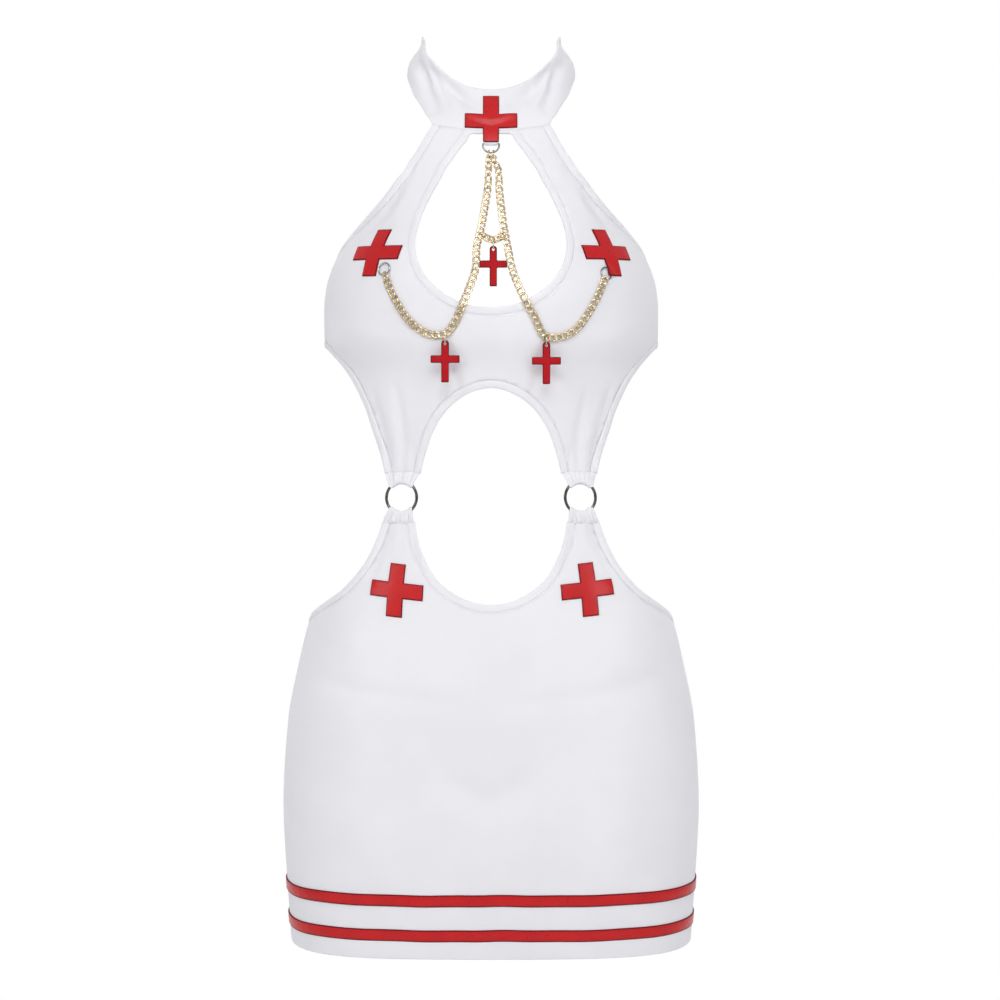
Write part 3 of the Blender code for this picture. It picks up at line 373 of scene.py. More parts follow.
SECTION = [monotone([(row[0], row[k]) for row in reversed(BODY)]) for k in (1, 2, 3, 4)]
collar_top_height = monotone(COLLAR_TOP)
collar_foot_height = monotone(COLLAR_FOOT)


# Spots on the cloth, as (turn, height), and where they lie

def skin(turn, height):
    """Points on the middle of the cloth."""
    turn, height = np.broadcast_arrays(np.asarray(turn, float), np.asarray(height, float))
    half_width, front, back, roundness = (track(height) for track in SECTION)
    angle = np.radians(turn)
    depth = np.where(np.cos(angle) >= 0, front, back)
    across = np.abs(np.sin(angle)) / half_width
    along = np.abs(np.cos(angle)) / depth
    radius = (across**roundness + along**roundness) ** (-1 / roundness)
    return np.stack([radius * np.sin(angle), -radius * np.cos(angle), height], -1)


def unit(vectors):
    vectors = np.asarray(vectors, float)
    return vectors / np.linalg.norm(vectors, axis=-1, keepdims=True)


def outward(turn, height):
    step = 0.05
    round_body = skin(np.add(turn, step), height) - skin(np.subtract(turn, step), height)
    up_body = skin(turn, np.add(height, step)) - skin(turn, np.subtract(height, step))
    return unit(np.cross(round_body, up_body))


def place(turn, height, lift=0.0):
    """Points lifted outward from the middle of the cloth, before any fold."""
    return skin(turn, height) + np.asarray(lift, float)[..., None] * outward(turn, height)


def relief(turn, height):
    """How far the folds move the cloth outward."""
    turn, height = np.broadcast_arrays(np.asarray(turn, float), np.asarray(height, float))
    shape = turn.shape
    turn, height = turn.ravel(), height.ravel()
    moved = np.zeros(len(turn))
    for depth, half_width, *spots in FOLDS:
        spots = np.array(spots, float)
        middle = spots.mean(axis=0)
        scale = np.linalg.norm(skin(middle[0] + 0.5, middle[1]) - skin(middle[0] - 0.5, middle[1]))
        side = (turn - middle[0] + 180) % 360 - 180
        near = (np.abs(side) * scale < FOLD_WINDOW[0]) & (np.abs(height - middle[1]) < FOLD_WINDOW[1])
        if not near.any():
            continue
        point = np.stack([side[near] * scale, height[near]], -1)
        line = (spots - (middle[0], 0)) * (scale, 1)
        lengths = np.linalg.norm(np.diff(line, axis=0), axis=1)
        run = length_along(line) / lengths.sum()
        best = np.full(len(point), np.inf)
        share = np.zeros(len(point))
        for i, length in enumerate(lengths):
            along = (line[i + 1] - line[i]) / length
            t = np.clip((point - line[i]) @ along / length, 0, 1)
            away = np.linalg.norm(point - line[i] - t[:, None] * length * along, axis=1)
            closer = away < best
            best = np.where(closer, away, best)
            share = np.where(closer, run[i] + t * (run[i + 1] - run[i]), share)
        taper = FOLD_END + (1 - FOLD_END) * np.sin(math.pi * np.clip(share, 0, 1)) ** 0.8
        moved[near] += FOLD_SCALE * depth * taper * np.exp(-((best / half_width) ** 2))
    return moved.reshape(shape)


def draped(turn, height, lift):
    """Points lifted outward from the middle of the folded cloth."""
    return place(turn, height, lift + relief(turn, height))


def spot_of(points):
    """Turn and height of points."""
    points = np.asarray(points, float)
    turn = np.degrees(np.arctan2(points[..., 0], -points[..., 1]))
    return np.stack([turn, points[..., 2]], -1)


def axes(facing):
    """The level and the upward direction of the plane square to a direction."""
    across = unit(np.cross((0, 0, 1), facing))
    return across, np.cross(facing, across)


def angles(count):
    """So many angles evenly round a circle."""
    return np.arange(count) * 2 * math.pi / count


def circle(radius, count):
    return np.stack([radius * np.cos(angles(count)), radius * np.sin(angles(count))], -1)


# Lines

def length_along(points):
    steps = np.linalg.norm(np.diff(points, axis=0), axis=1)
    return np.concatenate([[0], np.cumsum(steps)])


def at_lengths(at, run, points):
    """Points of the line at lengths along it, where run is the length at each of its points."""
    return np.stack([np.interp(at, run, column) for column in points.T], -1)


def curve(points, run, samples, first, last):
    """Smooth stretches through points, from the first to the last, with samples(length) points to each."""
    tangents = np.gradient(points, run, axis=0)
    stretches = []
    for i in range(first, last):
        length = run[i + 1] - run[i]
        t = np.linspace(0, 1, samples(length), endpoint=False)[:, None]
        start = (2 * t - 3) * t * t + 1
        bend = (1 - t) * tangents[i] - t * tangents[i + 1]
        stretches.append(start * points[i] + (1 - start) * points[i + 1] + length * t * (1 - t) * bend)
    return stretches


def smooth(rows, closed=False):
    """Path of about one point a millimetre through rows of (turn, height)."""
    rows = np.array(rows, float)
    first, last = 0, len(rows) - 1
    if closed:
        first, last = 2, len(rows) + 2
        rows = np.vstack([rows[-2:], rows, rows[:3]])
    run = length_along(rows * (TURN_MM, 1))
    path = curve(rows, run, lambda length: max(2, math.ceil(length)), first, last)
    return np.vstack(path if closed else [*path, rows[-1:]])


def both_halves(rows, about=0):
    """The rows from their last to their first, mirrored about a turn that they start at, then the rows."""
    rows = np.array(rows, float)
    mirrored = rows[::-1] * (-1, 1) + (2 * about, 0)
    return np.vstack([mirrored[:-1], rows])


def evenly(path, count):
    """The open path as so many spots, evenly spaced along the cloth."""
    run = length_along(skin(*path.T))
    return at_lengths(np.linspace(0, run[-1], count), run, path)


def spaced(path, closed=False):
    """The path with spots evenly spaced along the cloth, about EDGE_PITCH apart."""
    if closed:
        path = np.vstack([path, path[:1]])
    run = length_along(skin(*path.T))
    path = evenly(path, 2 * round(run[-1] / EDGE_PITCH / 2) + 1)
    return path[:-1] if closed else path


def inset(path, distance, closed=False):
    """The path moved sideways over the cloth, to its left as seen from outside."""
    points = skin(*path.T)
    if closed:
        along = np.roll(points, -1, axis=0) - np.roll(points, 1, axis=0)
    else:
        along = np.gradient(points, axis=0)
    left = unit(np.cross(outward(*path.T), along))
    moved = spot_of(points + np.asarray(distance, float)[..., None] * left)
    moved[:, 0] += 360 * np.round((path[:, 0] - moved[:, 0]) / 360)
    return moved


def clip(path, *limits):
    """The part of the path where each limit(turn, height) is above zero, cut exactly where it is zero."""
    for limit in limits:
        measure = limit(*path.T)
        kept = []
        for i in range(len(path)):
            if i and (measure[i - 1] > 0) != (measure[i] > 0):
                share = measure[i - 1] / (measure[i - 1] - measure[i])
                kept.append(path[i - 1] + share * (path[i] - path[i - 1]))
            if measure[i] > 0:
                kept.append(path[i])
        path = np.array(kept)
    return path


def joined_open(*paths):
    """One path from paths that follow each other, without spots closer than SAME_SPOT."""
    spots = np.vstack([path for path in paths if len(path)])
    points = skin(*spots.T)
    kept = [0]
    for i in range(1, len(spots)):
        if np.linalg.norm(points[i] - points[kept[-1]]) > SAME_SPOT:
            kept.append(i)
    return spots[kept]


def straight(start, end):
    """Spots between two spots, without the two themselves."""
    count = max(1, round(np.linalg.norm(skin(*start) - skin(*end)) / EDGE_PITCH))
    share = np.linspace(0, 1, count + 1)[1:-1, None]
    return np.array(start) + share * (np.array(end) - np.array(start))


def bridged(*paths):
    """One path from paths with a straight run from each to the next."""
    runs = [straight(path[-1], following[0]) for path, following in zip(paths, paths[1:])]
    return joined_open(*[part for pair in zip(paths, runs) for part in pair], paths[-1])


def joined(*paths):
    """One closed outline from paths that follow each other."""
    spots = joined_open(*paths)
    apart = np.linalg.norm(skin(*spots[-1]) - skin(*spots[0]))
    return spots if apart > SAME_SPOT else spots[:-1]


# Triangles

def inside(spots, outline):
    """Whether each spot lies inside the closed outline."""
    x, y = spots[:, :1], spots[:, 1:]
    x0, y0 = outline.T
    x1, y1 = np.roll(x0, -1), np.roll(y0, -1)
    crosses = (y0 > y) != (y1 > y)
    at = x0 + (y - y0) / np.where(y1 == y0, 1e-9, y1 - y0) * (x1 - x0)
    return (np.sum(crosses & (x < at), axis=1) % 2) == 1


def distance_to(points, others):
    """Distance from each point to the nearest of the others."""
    tree = KDTree(len(others))
    for i, other in enumerate(others):
        tree.insert((*other, 0)[:3], i)
    tree.balance()
    return np.array([tree.find((*point, 0)[:3])[2] for point in points])


# What delaunay_2d_cdt keeps: all that is inside its edges, or that without the holes
INSIDE, WITH_HOLES = 1, 2


def triangulated(flat, edges, rings, kind):
    """Corners and triangles, all turned the same way, over flat points, with their edges and rings kept."""
    corners, _, faces, *_ = delaunay_2d_cdt([Vector(point) for point in flat], edges, rings, kind, 1e-4)
    corners = np.array([tuple(corner) for corner in corners])
    faces = np.array([face for face in faces if len(face) == 3])
    a, b, c = (corners[faces[:, k]] for k in range(3))
    turned = np.cross(b - a, c - a) < 0
    faces[turned] = faces[turned][:, ::-1]
    return corners, faces


def fill(outline, lattice, lines=(), apart=LATTICE_GAP):
    """Triangles over the inside of an outline, with lattice spots as corners and lines as edges."""
    spots = list(outline)
    edges = [(i, (i + 1) % len(outline)) for i in range(len(outline))]
    for line in lines:
        first = len(spots)
        spots += list(line)
        edges += [(i, i + 1) for i in range(first, len(spots) - 1)]
    lattice = lattice[inside(lattice, outline)]
    away = distance_to(lattice * (TURN_MM, 1), np.array(spots) * (TURN_MM, 1))
    spots += list(lattice[away > apart])
    corners, faces = triangulated(np.array(spots) * (TURN_MM, 1), edges, [], INSIDE)
    return corners / (TURN_MM, 1), faces


def thickened(faces, count):
    """The faces, the same on a second layer of so many corners, and the rim, with the size of the rim."""
    sides = {(int(face[i - 1]), int(face[i])) for face in faces for i in range(len(face))}
    rim = [(b, a, a + count, b + count) for a, b in sides if (b, a) not in sides]
    under = [[corner + count for corner in face[::-1]] for face in faces]
    return [*faces, *under, *rim], len(rim)


def tube(points, closed=False):
    """Faces, looking outward, of a tube from (rows, corners, 3) points; an open one has end caps."""
    rows, corners, _ = points.shape
    faces = []
    for i in range(rows if closed else rows - 1):
        here, there = i * corners, (i + 1) % rows * corners
        for j in range(corners):
            after = (j + 1) % corners
            faces.append((here + j, here + after, there + after, there + j))
    if not closed:
        faces.append(tuple(range(corners))[::-1])
        faces.append(tuple(range((rows - 1) * corners, rows * corners)))
    points = points.reshape(-1, 3)
    fans = np.array([(face[0], face[i], face[i + 1]) for face in faces for i in range(1, len(face) - 1)])
    inward = np.linalg.det(points[fans] - points.mean(axis=0)).sum() < 0
    return [face[::-1] for face in faces] if inward else faces


def tubes(grids, closed):
    """Points and faces of several tubes with as many rows and corners each."""
    one = tube(grids[0], closed)
    points = np.concatenate([grid.reshape(-1, 3) for grid in grids])
    size = len(points) // len(grids)
    return points, [tuple(corner + k * size for corner in face) for k in range(len(grids)) for face in one]


def two_sided(outer, inner):
    """Rows that go along the outer side of a strip and back along its inner side."""
    return np.concatenate([outer, inner[:, ::-1]], axis=1)


def rounded(inward, reach, least):
    """Share of the full thickness at a way in from an edge that is rounded over its reach."""
    return np.sqrt(np.clip(1 - (1 - np.clip(inward / reach, 0, 1)) ** 2, least, 1))


# Materials

def node(tree, kind, **settings):
    made = tree.nodes.new("ShaderNode" + kind)
    for key, value in settings.items():
        setattr(made, key, value)
    return made


def feed(tree, made, *values, **named):
    """Links outputs, or sets numbers, to a node's sockets: some in their order, some by name."""
    by_name = [(made.inputs[key.replace("_", " ")], value) for key, value in named.items()]
    for target, value in [*zip(made.inputs, values), *by_name]:
        if isinstance(value, bpy.types.NodeSocket):
            tree.links.new(value, target)
        else:
            target.default_value = value
    return made


def new_material(name, **values):
    made = bpy.data.materials.new(name)
    made.use_nodes = True
    tree = made.node_tree
    return made, tree, feed(tree, tree.nodes["Principled BSDF"], **values)


def maths(tree, operation, *values):
    return feed(tree, node(tree, "Math", operation=operation), *values).outputs[0]


def noise(tree, scale, detail=2.0, roughness=0.5):
    where = node(tree, "TexCoord").outputs["Object"]
    made = feed(tree, node(tree, "TexNoise"), Scale=scale, Detail=detail, Roughness=roughness, Vector=where)
    return made.outputs["Fac"]


def ranged(tree, *values):
    """A value taken from one range, low and high, to another."""
    return feed(tree, node(tree, "MapRange"), *values).outputs["Result"]


def blended(tree, share, first, second):
    made = node(tree, "Mix", data_type="RGBA")
    colours = [target for target in made.inputs if target.type == "RGBA"]
    for target, colour in zip(colours, (first, second)):
        target.default_value = colour
    feed(tree, made, Factor=share)
    return [output for output in made.outputs if output.type == "RGBA"][0]


def bump(tree, height, distance, strength, **under):
    made = feed(tree, node(tree, "Bump"), Strength=strength, Distance=distance, Height=height, **under)
    return made.outputs["Normal"]


def knit_material(name, colour, shade):
    """Fine stretch knit: wales up the cloth with a V in each course, from a UV map in millimetres, its stitch
    recesses painted darker as shade and its tone varied in broad clouds.
    """
    made, tree, shader = new_material(name, Sheen_Weight=0.22, Sheen_Roughness=0.45, Specular_IOR_Level=0.28)
    split = feed(tree, node(tree, "SeparateXYZ"), node(tree, "UVMap", uv_map="Cloth").outputs["UV"])
    across, up = split.outputs[0], split.outputs[1]
    wale = maths(tree, "FRACT", maths(tree, "DIVIDE", across, WALE))
    side = maths(tree, "MULTIPLY", maths(tree, "ABSOLUTE", maths(tree, "SUBTRACT", wale, 0.5)), 2.0)
    rib = maths(tree, "SUBTRACT", 1.0, maths(tree, "MULTIPLY", side, side))
    course = maths(tree, "ADD", maths(tree, "DIVIDE", up, COURSE), maths(tree, "MULTIPLY", side, 0.55))
    loop = maths(tree, "SINE", maths(tree, "MULTIPLY", course, 2 * math.pi))
    stitch = maths(tree, "MULTIPLY_ADD", loop, 0.35, rib)
    soft = noise(tree, 85.0, 3.0)
    worn = ranged(tree, noise(tree, 22.0), 0.3, 0.7, 0.0, 0.25)
    # Share of the darker colour: random clouds of tone, plus painted shade in the stitch recesses
    share = maths(tree, "ADD", worn, ranged(tree, stitch, -0.2, 1.2, 0.4, 0.0))
    feed(
        tree, shader, Base_Color=blended(tree, share, colour, shade),
        Roughness=ranged(tree, soft, 0.3, 0.7, 0.66, 0.8),
        Normal=bump(tree, stitch, 0.00012, 0.5, Normal=bump(tree, soft, 0.0006, 0.25)),
    )
    return made


def surface(name, colour, dark, clouds, scuffs, bumps, **values):
    """Material with clouds of a darker colour, scuffs in its gloss, and bumps, the broadest first."""
    made, tree, shader = new_material(name, **values)
    share, rough = (ranged(tree, noise(tree, *grain), *span) for grain, *span in (clouds, scuffs))
    normal = {}
    for grain, distance, strength in bumps:
        normal = {"Normal": bump(tree, noise(tree, *grain), distance, strength, **normal)}
    feed(tree, shader, Base_Color=blended(tree, share, colour, dark), Roughness=rough, **normal)
    return made


def vinyl_material(name, colour, dark, rough, gloss=1.0):
    """Coated cloth with a soft gloss, fine grain and faint scuffs."""
    return surface(
        name, colour, dark, ((70, 3), 0.35, 0.7, 0, 0.5), ((420, 4, 0.7), 0.35, 0.75, rough, rough + 0.2),
        (((110,), 0.0008, 0.45), ((1500, 2, 0.6), 0.00008, 0.2)),
        Coat_Weight=0.09 * gloss, Coat_Roughness=0.12, Specular_IOR_Level=0.24 * gloss,
    )


def metal_material(name, colour, tarnish, rough):
    """Plated metal with fine scratches and a little tarnish."""
    return surface(
        name, colour, tarnish, ((240, 3), 0.4, 0.75, 0, 0.8), ((900, 4, 0.7), 0.3, 0.75, rough, rough + 0.16),
        (((1440,), 0.00004, 0.14),), Metallic=1.0,
    )


def acrylic_material(name, colour, dark, gloss=1.0):
    """Cut acrylic sheet with a hard gloss, and a few fine scratches."""
    return surface(
        name, colour, dark, ((260,), 0.35, 0.7, 0, 0.4), ((1200, 4, 0.8), 0.35, 0.7, 0.14, 0.3),
        (((500,), 0.00005, 0.2),),
        Coat_Weight=0.2 * gloss, Coat_Roughness=0.06, Specular_IOR_Level=0.35 * gloss,
    )


def thread_material(name, colour, dark):
    """Spun sewing thread, twisted along its length."""
    made, tree, shader = new_material(name, Roughness=0.6, Sheen_Weight=0.2)
    twist = noise(tree, 3200.0, 1.0)
    feed(tree, shader, Base_Color=blended(tree, twist, colour, dark), Normal=bump(tree, twist, 0.0001, 0.6))
    return made


WHITE = knit_material("White_knit", (0.81, 0.803, 0.83, 1), (0.70, 0.692, 0.73, 1))
VINYL = vinyl_material("Red_vinyl", (0.53, 0.008, 0.010, 1), (0.40, 0.005, 0.007, 1), 0.26)
# The vinyl's cut sides and the rounded rims beside them, painted darker as the shade along its edges
VINYL_EDGE_SHADE = vinyl_material("Red_vinyl_edge_painted_shade", (0.19, 0.004, 0.009, 1), (0.11, 0.003, 0.006, 1), 0.5, 0.3)
NICKEL = metal_material("Dark_nickel", (0.135, 0.127, 0.112, 1), (0.03, 0.028, 0.025, 1), 0.03)
SILVER = metal_material("Silver_plate", (0.52, 0.51, 0.50, 1), (0.20, 0.195, 0.19, 1), 0.08)
DULL_SILVER = metal_material("Dull_silver_plate", (0.27, 0.262, 0.25, 1), (0.10, 0.097, 0.09, 1), 0.07)
GOLD = metal_material("Pale_gold_plate", (0.81, 0.67, 0.44, 1), (0.37, 0.265, 0.145, 1), 0.13)
ACRYLIC = acrylic_material("Red_acrylic", (0.44, 0.006, 0.011, 1), (0.31, 0.003, 0.007, 1))
# The acrylic's cut sides and chamfers, painted dark as the shade round its edges
ACRYLIC_EDGE_SHADE = acrylic_material(
    "Red_acrylic_edge_painted_shade", (0.12, 0.002, 0.005, 1), (0.06, 0.001, 0.003, 1), 0.35
)
WHITE_THREAD = thread_material("White_thread", (0.80, 0.80, 0.83, 1), (0.62, 0.62, 0.66, 1))
RED_THREAD = thread_material("Red_thread", (0.22, 0.01, 0.015, 1), (0.1, 0.004, 0.008, 1))
# What the pieces of each slot are made of, with a second material for their edges, painted dark as shade
SLOTS = {
    "white_knit": (WHITE,), "red_vinyl": (VINYL, VINYL_EDGE_SHADE), "dark_nickel": (NICKEL,), "silver": (SILVER,),
    "gold": (GOLD,), "red_acrylic": (ACRYLIC, ACRYLIC_EDGE_SHADE),
}


# Pieces

pieces = {}


def add(name, data):
    made = bpy.data.objects.new(name, data)
    bpy.context.scene.collection.objects.link(made)
    return made


def piece(
    node_name, kind, points, faces, slot="white_knit", body="dress", choice=None, uv=None, material=None,
):
    """Smooth mesh object on a body, standing for its CAD node; stitching stands for none."""
    name = f"{node_name}_{kind}"
    mesh = bpy.data.meshes.new(name)
    faces = [tuple(int(corner) for corner in face) for face in faces]
    mesh.from_pydata((points.reshape(-1, 3) * MM).tolist(), [], faces)
    for each in (material,) if material else SLOTS[slot]:
        mesh.materials.append(each)
    if choice is not None:
        mesh.polygons.foreach_set("material_index", np.asarray(choice, np.int32))
    if uv is not None:
        layer = mesh.uv_layers.new(name="Cloth")
        corners = np.empty(len(mesh.loops), np.int32)
        mesh.loops.foreach_get("vertex_index", corners)
        layer.data.foreach_set("uv", uv.reshape(-1, 2).astype(np.float32)[corners].ravel())
    mesh.shade_smooth()
    made = pieces[node_name] = add(name, mesh)
    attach(made, body)
    if kind != "stitching":
        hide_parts(node_name)
    return made


def shell(node_name, kind, spots, faces, low, high, choice=None, **options):
    """Cloth between two lifts over triangles, closed all round its edges, which are cut edges; given choices,
    they take the second material, painted dark as shade.
    """
    points = np.vstack([draped(*spots.T, lift) for lift in (high, low)])
    everything, rim = thickened(faces, len(spots))
    if choice is not None:
        choice = [*choice, *choice, *[1] * rim]
    turn, height = spots.T
    scale = np.linalg.norm(skin(turn + 0.5, height) - skin(turn - 0.5, height), axis=-1).mean()
    uv = np.tile(np.stack([turn * np.round(scale, 3), height], -1), (2, 1))
    return piece(node_name, kind, points, everything, choice=choice, uv=uv, **options)


def binding(node_name, edge, *limits, width=None):
    """Doubled binding along an edge. Limits cut its ends; width narrows a closed one along its way."""
    inward, half = BINDING.T
    if width is not None:
        rows = [inset(edge, distance * width / BAND, closed=True) for distance in inward]
    else:
        count = round(length_along(skin(*edge.T))[-1] / EDGE_PITCH)
        rows = [evenly(clip(inset(edge, distance), *limits), count) for distance in inward]
    turn, height = np.moveaxis(np.stack(rows, 1), -1, 0)
    thin = np.ones(len(turn))
    if width is None:
        run = length_along(skin(turn[:, 4], height[:, 4]))
        thin -= 0.42 * np.exp(-((np.minimum(run, run[-1] - run) / 1.6) ** 2))
    points = draped(turn, height, thin[:, None] * half)
    uv = np.stack(np.broadcast_arrays(inward, length_along(points[:, 4])[:, None]), -1)
    piece(node_name, "fold", points, tube(points, width is not None), uv=uv)


# Knit panels, each bounded by the edges of the dress and the seams

def hem_rise(turn):
    return HEM_SIDE_LIFT * np.sin(np.radians(turn)) ** 12


def below_collar(turn, height):
    """Above zero below the seam under the collar, for turns to either side or counted up to 360."""
    folded = np.minimum(np.abs(turn), np.abs(360 - turn))
    return collar_foot_height(folded) + SEAM_OVERLAP - height


def above_upper_loops(turn, height):
    return height - UPPER_LOOP_SEAM


def below_lower_loops(turn, height):
    return LOWER_LOOP_SEAM - height


def at_front(turn, height):
    """Above zero before the side seams."""
    return np.minimum(turn + 90, 90 - turn)


def at_back(turn, height):
    """Above zero behind the side seams, for turns counted up to 360."""
    return np.minimum(turn - 90, 270 - turn)


def right_half(path):
    return path[path[:, 0] > -1e-6]


def mirrored(half):
    """Closed outline from its +X half, which runs from centre front back to centre front."""
    return np.vstack([half, half[-2:0:-1] * (-1, 1)])


def seam_line(start, end):
    """Spots along the seam under the collar, from one turn to the other."""
    count = max(2, round(abs(end - start) * TURN_MM / EDGE_PITCH) + 1)
    turns = np.linspace(start, end, count)
    return np.stack([turns, collar_foot_height(np.abs(turns)) + SEAM_OVERLAP], -1)


def lattice(start, end, low, high):
    """Spots over the cloth between two turns, every other row shifted by half a step."""
    turns = np.arange(start, end + TURN_STEP, TURN_STEP)
    rows = []
    for row, height in enumerate(np.arange(low, high, ROW_STEP)):
        rows.append(np.stack([turns + 0.5 * TURN_STEP * (row % 2), np.full(len(turns), height)], -1))
    return np.vstack(rows)


def panel(node_name, outline, points, lines=(), hemmed=False):
    """Single knit panel that dips a little into the seams round it, with a rolled hem where it has one."""
    spots, faces = fill(outline, points, lines)
    turn, height = spots.T
    border, half = outline, np.full(len(spots), CLOTH_HALF)
    if hemmed:
        border = outline[outline[:, 1] - HEM - hem_rise(outline[:, 0]) > 0.5]
        above_hem = height - HEM - hem_rise(turn)
        folded = CLOTH_HALF + HEM_EXTRA * np.clip((HEM_FOLD - above_hem) / 6, 0, 1)
        half = folded * rounded(above_hem, HEM_ROLL, 0.0004)
    away = distance_to(skin(turn, height), skin(*border.T))
    dip = -SEAM_DIP * np.exp(-((away / SEAM_REACH) ** 2))
    shell(node_name, "cloth", spots, faces, dip - half, dip + half)


# The edges of the body of the dress; each runs with the cloth on its left.
keyhole = spaced(smooth(mirrored(np.array(KEYHOLE, float)), closed=True), closed=True)
arch = spaced(smooth(both_halves(ARCH)))
lower = spaced(smooth(both_halves(LOWER[::-1], 180)[::-1]))
armhole = spaced(smooth(both_halves(ARMHOLE[::-1], 180)))
midriff = spaced(smooth(both_halves(MIDRIFF[::-1])[::-1]))
hip = spaced(smooth(both_halves(HIP[::-1], 180)))
OPEN_EDGES = {
    "armhole_band": (armhole, below_collar), "midriff_arch_band": (arch, above_upper_loops),
    "bodice_lower_band": (lower, above_upper_loops), "midriff_curve_band": (midriff, below_lower_loops),
    "skirt_top_band": (hip, below_lower_loops),
}
for name, (edge, limit) in OPEN_EDGES.items():
    binding(name, edge, limit)

# The keyhole's binding narrows where the collar's seam runs over it.
reach = np.full(len(keyhole), BAND)
for share in np.linspace(0, 1, 40)[:0:-1]:
    spots = inset(keyhole, BAND * share, closed=True)
    reach = np.where(below_collar(*spots.T) < 0, BAND * share - BAND / 40, reach)
binding("keyhole_band", keyhole, width=reach)

arch_in, lower_in, armhole_in, midriff_in, hip_in = (
    inset(path, BAND - UNDER_BAND) for path in (arch, lower, armhole, midriff, hip)
)
arch_run = right_half(clip(arch_in, above_upper_loops))
lower_run = clip(lower_in, above_upper_loops, at_front)
armhole_run = clip(armhole_in, at_front, below_collar)
keyhole_run = right_half(clip(inset(keyhole, BAND - UNDER_BAND, closed=True), below_collar))
collar_run = seam_line(armhole_run[-1][0], keyhole_run[0][0])
half = bridged(arch_run, lower_run, armhole_run, collar_run, keyhole_run)
panel("bodice_front", mirrored(half), lattice(-90, 90, -310, -20))

bottom = clip(lower_in, at_back)
outline = joined(bridged(bottom, clip(armhole_in, at_back), bottom[:1]))
panel("back_strap", outline, lattice(90, 270, -210, -120))


def hem_line(above, start, end):
    """Spots a height above the hem."""
    turns = np.linspace(start, end, 134)
    return np.stack([turns, HEM + above + hem_rise(turns)], -1)


def skirt(node_name, side, top_run):
    """Skirt panel from its hem up to the run along its top, which starts at the later side seam."""
    start, end = side - 90, side + 90
    levels = np.array([*HEM_ROWS, *np.arange(4.6, 400, ROW_STEP)]) + HEM + hem_rise(90)

    def side_rows(turn, limit):
        return np.array([(turn, level) for level in levels if level < limit - 1.5])

    seams = side_rows(end, top_run[0][1]), side_rows(start, top_run[-1][1])[::-1]
    outline = joined(hem_line(0, start, end), seams[0], top_run, seams[1])
    lines = [hem_line(row, start, end)[1:-1] for row in HEM_ROWS]
    rows = lattice(start + 0.9, end - 0.9, HEM + 9.5, -340)
    low = [hem_line(row, start + 0.6 + 0.6 * i, end - 0.6) for i, row in enumerate((4.4, 6.9))]
    panel(node_name, outline, np.vstack([rows, *low]), lines, hemmed=True)


hip_run = clip(hip_in, at_front, below_lower_loops)
half = bridged(hip_run, right_half(clip(midriff_in, below_lower_loops)))
skirt("skirt_front", 0, np.vstack([half, half[::-1][1:] * (-1, 1)]))
skirt("skirt_back", 180, clip(hip_in, at_back))

# Collar: one doubled strip with rolled edges, its +X end over its -X end at centre back, without folds there.
columns = np.linspace(-COLLAR_OVERLAP_TURN, COLLAR_OVERLAP_TURN, COLLAR_COLUMNS)
folded = np.where(np.abs(columns) > 180, 360 - np.abs(columns), np.abs(columns))
foot = collar_foot_height(folded)
top = collar_top_height(folded)
part = np.clip((np.abs(columns) - PART_FROM) / (PART_FULL - PART_FROM), 0, 1)
part = COLLAR_PART * np.sign(columns) * part * part * (3 - 2 * part)
ROLL = ((0.0, 0.12), (0.2, 0.56), (0.6, 0.9), (1.3, 1.08))
rows = [(foot + distance, thick) for distance, thick in ROLL]
for share in np.linspace(0, 1, 15)[1:-1]:
    between = foot + ROLL[-1][0] + share * (top - foot - 2 * ROLL[-1][0])
    rows.append((between, COLLAR_HALF + 0.05 * math.sin(math.pi * share)))
rows += [(top - distance, thick) for distance, thick in reversed(ROLL)]
heights = np.stack([row[0] for row in rows], 1)
turns = np.broadcast_to(columns[:, None], heights.shape)
ends = rounded(np.minimum(columns - columns[0], columns[-1] - columns), 1.6, 0.02)
thick = ends[:, None] * [row[1] for row in rows]
moved = relief(turns, heights) * np.clip((150 - np.abs(turns)) / 20, 0, 1) + part[:, None]
strip = two_sided(place(turns, heights, moved + thick), place(turns, heights, moved - thick))
uv = np.stack([turns * 1.05, heights], -1)
piece("collar", "cloth", strip, tube(strip), uv=two_sided(uv, uv))


# Red vinyl: crosses and tapes

def cross_corners(arm, tip):
    corners = [(arm, -tip), (arm, -arm), (tip, -arm), (tip, arm), (arm, arm), (arm, tip)]
    return corners + [(-x, -y) for x, y in corners]


def cross_ring(arm, tip, counts):
    """Points round a cross, as many to each side as counts says."""
    corners = cross_corners(arm, tip)
    flat = []
    for i, start in enumerate(corners):
        finish = corners[(i + 1) % len(corners)]
        flat += [np.add(start, np.subtract(finish, start) * step / counts[i]) for step in range(counts[i])]
    return np.array(flat)


def over_ring(spots):
    """How far the right bust ring, which lies under the cross's lower arm, lifts the vinyl."""
    away = np.linalg.norm(skin(*spots.T) - skin(*BUST_RINGS["bust_ring_right"][:2]), axis=1)
    return 1.35 / (1 + np.exp((away - 7.4) / 0.8))


cross_rows = []
# How far in from the edge and how high over the base, and whether the faces that start there are painted dark
# as edge shade
CROSS_RINGS = ((0.0, 0.3, 1), (0.12, 0.72, 1), (0.4, 0.95, 1), (0.75, 1.0, 0), (1.5, 1.02, 0))


